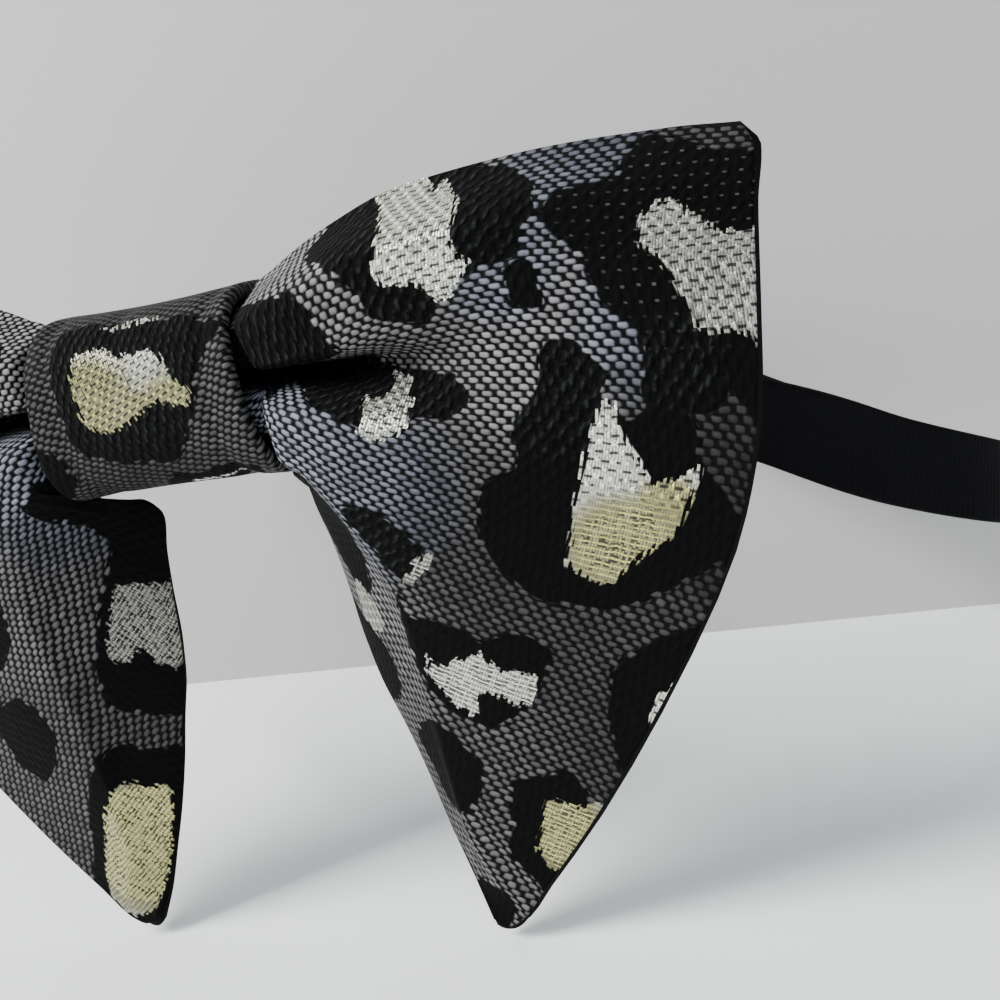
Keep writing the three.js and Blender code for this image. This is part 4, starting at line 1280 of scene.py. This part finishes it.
def twill_ribs():
    """Ribs that climb to the right across the plain black cloth, each broken up into short grains."""
    group, (place,), (relief, light) = new_group("twill ribs", ["Place"], ["Relief", "Light"])
    x, y = split(place)
    off = y * math.cos(RIB_RISE) - x * math.sin(RIB_RISE)
    off = off + cloud(place, RIB_WANDER_SCALE, detail=3.0) * RIB_WANDER
    rib = maths("COSINE", off * (2 * math.pi / RIB_PITCH))
    number = maths("ROUND", off / RIB_PITCH)
    grain = maths("COSINE", number * GRAIN_SHIFT + x * (2 * math.pi / RIB_GRAIN))
    feed(relief, grain * GRAIN_HEIGHT + rib * RIB_HEIGHT + 0.5)
    # Light is a painted highlight on the ribs' crests.
    feed(light, ease(grain * GRAIN_LIGHT + rib, *RIB_LIT))
    return group


def metal_threads():
    """Upright flat metal strips, held down by level yarns.

    Where Lines is 0 the yarns are short dark dashes between bright knobs, like bricks. Where it
    is 1 they are long bright threads. The strips end in a ragged comb, because each starts and
    stops at its own height, and each bit of strip leans its own way, so that it glitters.
    """
    group, (place, distance, gold, lines), (mask, colour, relief, metal) = new_group(
        "metal threads", ["Place", "Distance", "Gold", "Lines"], ["Mask", "Colour", "Relief", "Metal"])
    x, y = split(place)
    strip = x / STRIP_WIDTH
    number, inside = maths("FLOOR", strip), maths("FRACT", strip)
    bit = maths("FLOOR", y / STRIP_RUN)
    edge = (chance(number, bit) - 0.5) * EDGE_JUMP + distance
    feed(mask, fade(edge, -METAL_SOFT, METAL_SOFT))

    bent = y + (cloud(place, YARN_WANDER_SCALE) - 0.5) * YARN_WANDER
    across, up, brick, row = brick_place(x, bent, DOT_REPEAT, DASH_ROW)
    side, off = size_of(across), size_of(up)
    dash = ease(side, *DASH_SIDE) * fade(off, *DASH_OFF) * ease(chance(brick, row), *DASH_LOT)
    dash = dash * (1.0 - lines)
    knob = fade(side, *KNOB_SIDE) * fade(off, *KNOB_OFF)
    level = bent / YARN_PITCH
    line = fade(size_of(maths("FRACT", level) - 0.5), *YARN_EDGE)
    yarn = between(lines, knob, line)

    drawn = chance(number, between(lines, row, maths("FLOOR", level)))
    speck = ease(drawn, *SPECK_LOT, 0.0, SPECK_DARKNESS)
    gap = ease(size_of(inside - 0.5), *STRIP_GAP)
    shaded = maths("MAXIMUM", speck * lines, gap * GAP_DARKNESS)
    strip_colour = blend(gold, blend(lines, SILVER_KNOBBED, SILVER_LINED), GOLD)
    yarn_colour = blend(gold, SILVER_YARN, GOLD_YARN)
    ground = blend(shaded, strip_colour, GAP_BLACK)
    feed(colour, blend(dash * DASH_COVER, blend(yarn * YARN_COVER, ground, yarn_colour), DASH_BLACK))

    lean = (drawn - 0.5) * inside * STRIP_LEAN
    hump = maths("SINE", inside * math.pi)
    feed(relief, hump * STRIP_HUMP + yarn * YARN_HEIGHT + lean - dash)
    feed(metal, between(maths("MAXIMUM", yarn, dash), STRIP_METAL, YARN_METAL))
    return group


def new_material(name, **given):
    """A material with a Principled shader, its node tree and a way to feed the shader's inputs."""
    material = bpy.data.materials.new(name)
    material.use_nodes = True
    tree = material.node_tree
    shader = tree.nodes["Principled BSDF"]

    def finish(**values):
        for label, value in values.items():
            feed(shader.inputs[label.replace("_", " ")], value)
        return material

    finish(**given)
    return tree, finish


def patterned_cloth(weave, ribs, threads):
    """The jacquard: a dotted grey weave, plain or ribbed black spots and patches of metal threads."""
    tree, finish = new_material("leopard jacquard", Specular_IOR_Level=0.07)
    place, ribbed = cloth_place(tree), stored(tree, "ribbed")
    dots, dot_relief, shade, lot, pins = use_group(
        weave, ["Dots", "Relief", "Shade", "Chance", "Pins"], place=place)
    rib_relief, rib_light = use_group(ribs, ["Relief", "Light"], place=place)
    mask, metal_colour, metal_relief, metal = use_group(
        threads, ["Mask", "Colour", "Relief", "Metal"], place=place, distance=stored(tree, "metal"),
        gold=stored(tree, "gold"), lines=stored(tree, "lined"))
    black = fade((lot - 0.5) * EDGE_JUMP + stored(tree, "spot"), -SPOT_SOFT, SPOT_SOFT)
    # A painted bluish tint of cool light on the dots in some places.
    tint = blend(stored(tree, "cool"), DOT_GREY, DOT_BLUISH)
    # Painted light and shade: the dots are darkened by their painted shading and by the painted light of
    # their place.
    dot_colour = blend(shade * stored(tree, "light"), NO_LIGHT, tint)
    # Painted highlights on the ribs' crests, which show in patches and where the cloth is ribbed.
    rib_light_patches = ease(cloud(place, RIB_LIGHT_PATCH_SCALE, detail=3.0), *RIB_LIGHT_PATCH_EDGE)
    plain = blend(rib_light * rib_light_patches * ribbed, PLAIN_BLACK, RIB_BLACK)
    plain = blend(pins * stored(tree, "pinned"), plain, PIN_GREY)
    cloth = blend(dots * (1.0 - black), plain, dot_colour)
    # Painted light and shade on the metal: its colour dimmed where it lies in shade.
    shining = blend(stored(tree, "shine"), NO_LIGHT, metal_colour)
    rough = between(mask, between(black, DOT_ROUGHNESS, BLACK_ROUGHNESS), METAL_ROUGHNESS)
    relief = between(black, dot_relief, rib_relief * (ribbed * RIBBED_RELIEF + PLAIN_RELIEF))
    relief = between(mask, relief, metal_relief)
    return finish(Base_Color=blend(mask, cloth, shining), Metallic=mask * metal, Roughness=rough,
                  Normal=bump(relief, CLOTH_RELIEF))


def plain_cloth(name, colour, pitch, depth):
    """Plain black cloth or braid: fine level ribs and a little soft unevenness."""
    tree, finish = new_material(name, Roughness=0.85, Specular_IOR_Level=0.08, Base_Color=colour)
    place = cloth_place(tree)
    x, y = split(place)
    wave = maths("COSINE", x * (2 * math.pi / pitch))
    cross = maths("COSINE", y * (2 * math.pi / (pitch * CROSS_PITCH)))
    relief = cloud(place, UNEVEN_SCALE) * UNEVEN_HEIGHT + cross * CROSS_HEIGHT + wave
    return finish(Normal=bump(relief, depth))


def clasp_plastic():
    """Black moulded plastic with a faint grain."""
    tree, finish = new_material("clasp plastic", Base_Color=CLASP_BLACK, Roughness=0.38)
    place = Result(tree.nodes.new("ShaderNodeTexCoord").outputs["Object"])
    return finish(Normal=bump(cloud(place, CLASP_GRAIN), CLASP_RELIEF))


def add_stage():
    """A pale floor and a pale wall behind the strap, two faces that show their inner side only."""
    turn = Matrix.Rotation(WALL_TURN, 4, "Z")
    wide, deep, low, top = STAGE_HALF_WIDTH, STAGE_HALF_DEPTH, FLOOR_Z, WALL_TOP
    for name, colour, corners in (
            ("floor", FLOOR_PAINT, [(-wide, -deep, low), (wide, -deep, low), (wide, deep, low),
                                    (-wide, deep, low)]),
            ("wall", WALL_PAINT, [(-wide, WALL_Y, low), (wide, WALL_Y, low), (wide, WALL_Y, top),
                                  (-wide, WALL_Y, top)])):
        points = np.array([turn @ Vector(corner) for corner in corners])
        side = make_mesh(name, points, np.array([(0, 1, 2, 3)]))
        tree, finish = new_material(f"{name} paint", Base_Color=colour, Roughness=0.8)
        facing = tree.nodes.new("ShaderNodeNewGeometry").outputs["Backfacing"]
        side.data.materials.append(finish(Alpha=Result(facing)))


def add_lights():
    """Soft light from the upper left, a weaker one from the front right, and a pale surrounding."""
    for name, place, aim, side, power, colour in LIGHTS:
        lamp = bpy.data.lights.new(name, "AREA")
        lamp.size, lamp.energy, lamp.color = side * MM, power, colour
        holder = bpy.data.objects.new(name, lamp)
        holder.location = Vector(place) * MM
        holder.rotation_euler = (Vector(aim) - Vector(place)).to_track_quat("-Z", "Y").to_euler()
        bpy.context.scene.collection.objects.link(holder)
    world = bpy.data.worlds.new("room")
    world.use_nodes = True
    surrounding = world.node_tree.nodes["Background"].inputs
    feed(surrounding["Color"], PALE_SKY)
    feed(surrounding["Strength"], SKY_STRENGTH)
    bpy.context.scene.world = world


def add_camera():
    """The camera, where the photo was taken from."""
    camera = bpy.data.objects.new("camera", bpy.data.cameras.new("camera"))
    camera.data.lens, camera.data.sensor_width = LENS, FILM
    camera.data.clip_start = NEAREST
    turn = Matrix([CAMERA_RIGHT, CAMERA_TOP, [-v for v in CAMERA_VIEW]]).transposed()
    camera.matrix_world = Matrix.Translation(Vector(CAMERA_AT) * MM) @ turn.to_4x4()
    bpy.context.scene.collection.objects.link(camera)
    bpy.context.scene.camera = camera


def dress(piece, material, slot, *nodes):
    """Gives a piece its material and its place on the body, and hides the nodes it stands for; slot is not
    used.
    """
    piece.data.materials.append(material)
    if nodes:
        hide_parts(*nodes)
    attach(piece, "root")


jacquard = patterned_cloth(basket_weave(), twill_ribs(), metal_threads())
lining_cloth = plain_cloth("black lining", LINING_BLACK, LINING_PITCH, LINING_RELIEF)
strap_braid = plain_cloth("black braid", BRAID_BLACK, BRAID_PITCH, BRAID_RELIEF)

for side, node, tables in ((1, "wing_right", RIGHT_CLOTH), (-1, "wing_left", LEFT_CLOTH)):
    cloth, lining = make_wing(side, tables)
    dress(cloth, jacquard, "wing_cloth", node)
    dress(lining, lining_cloth, "wing_cloth", node)

knot = make_knot()
dress(knot, jacquard, "knot_cloth", "knot_band")

strap, strap_length = make_strap()
dress(strap, strap_braid, "strap_band", "neck_strap")

dress(make_clasp(), clasp_plastic(), "clasp_plastic", "strap_clasp")

add_stage()
add_lights()
add_camera()
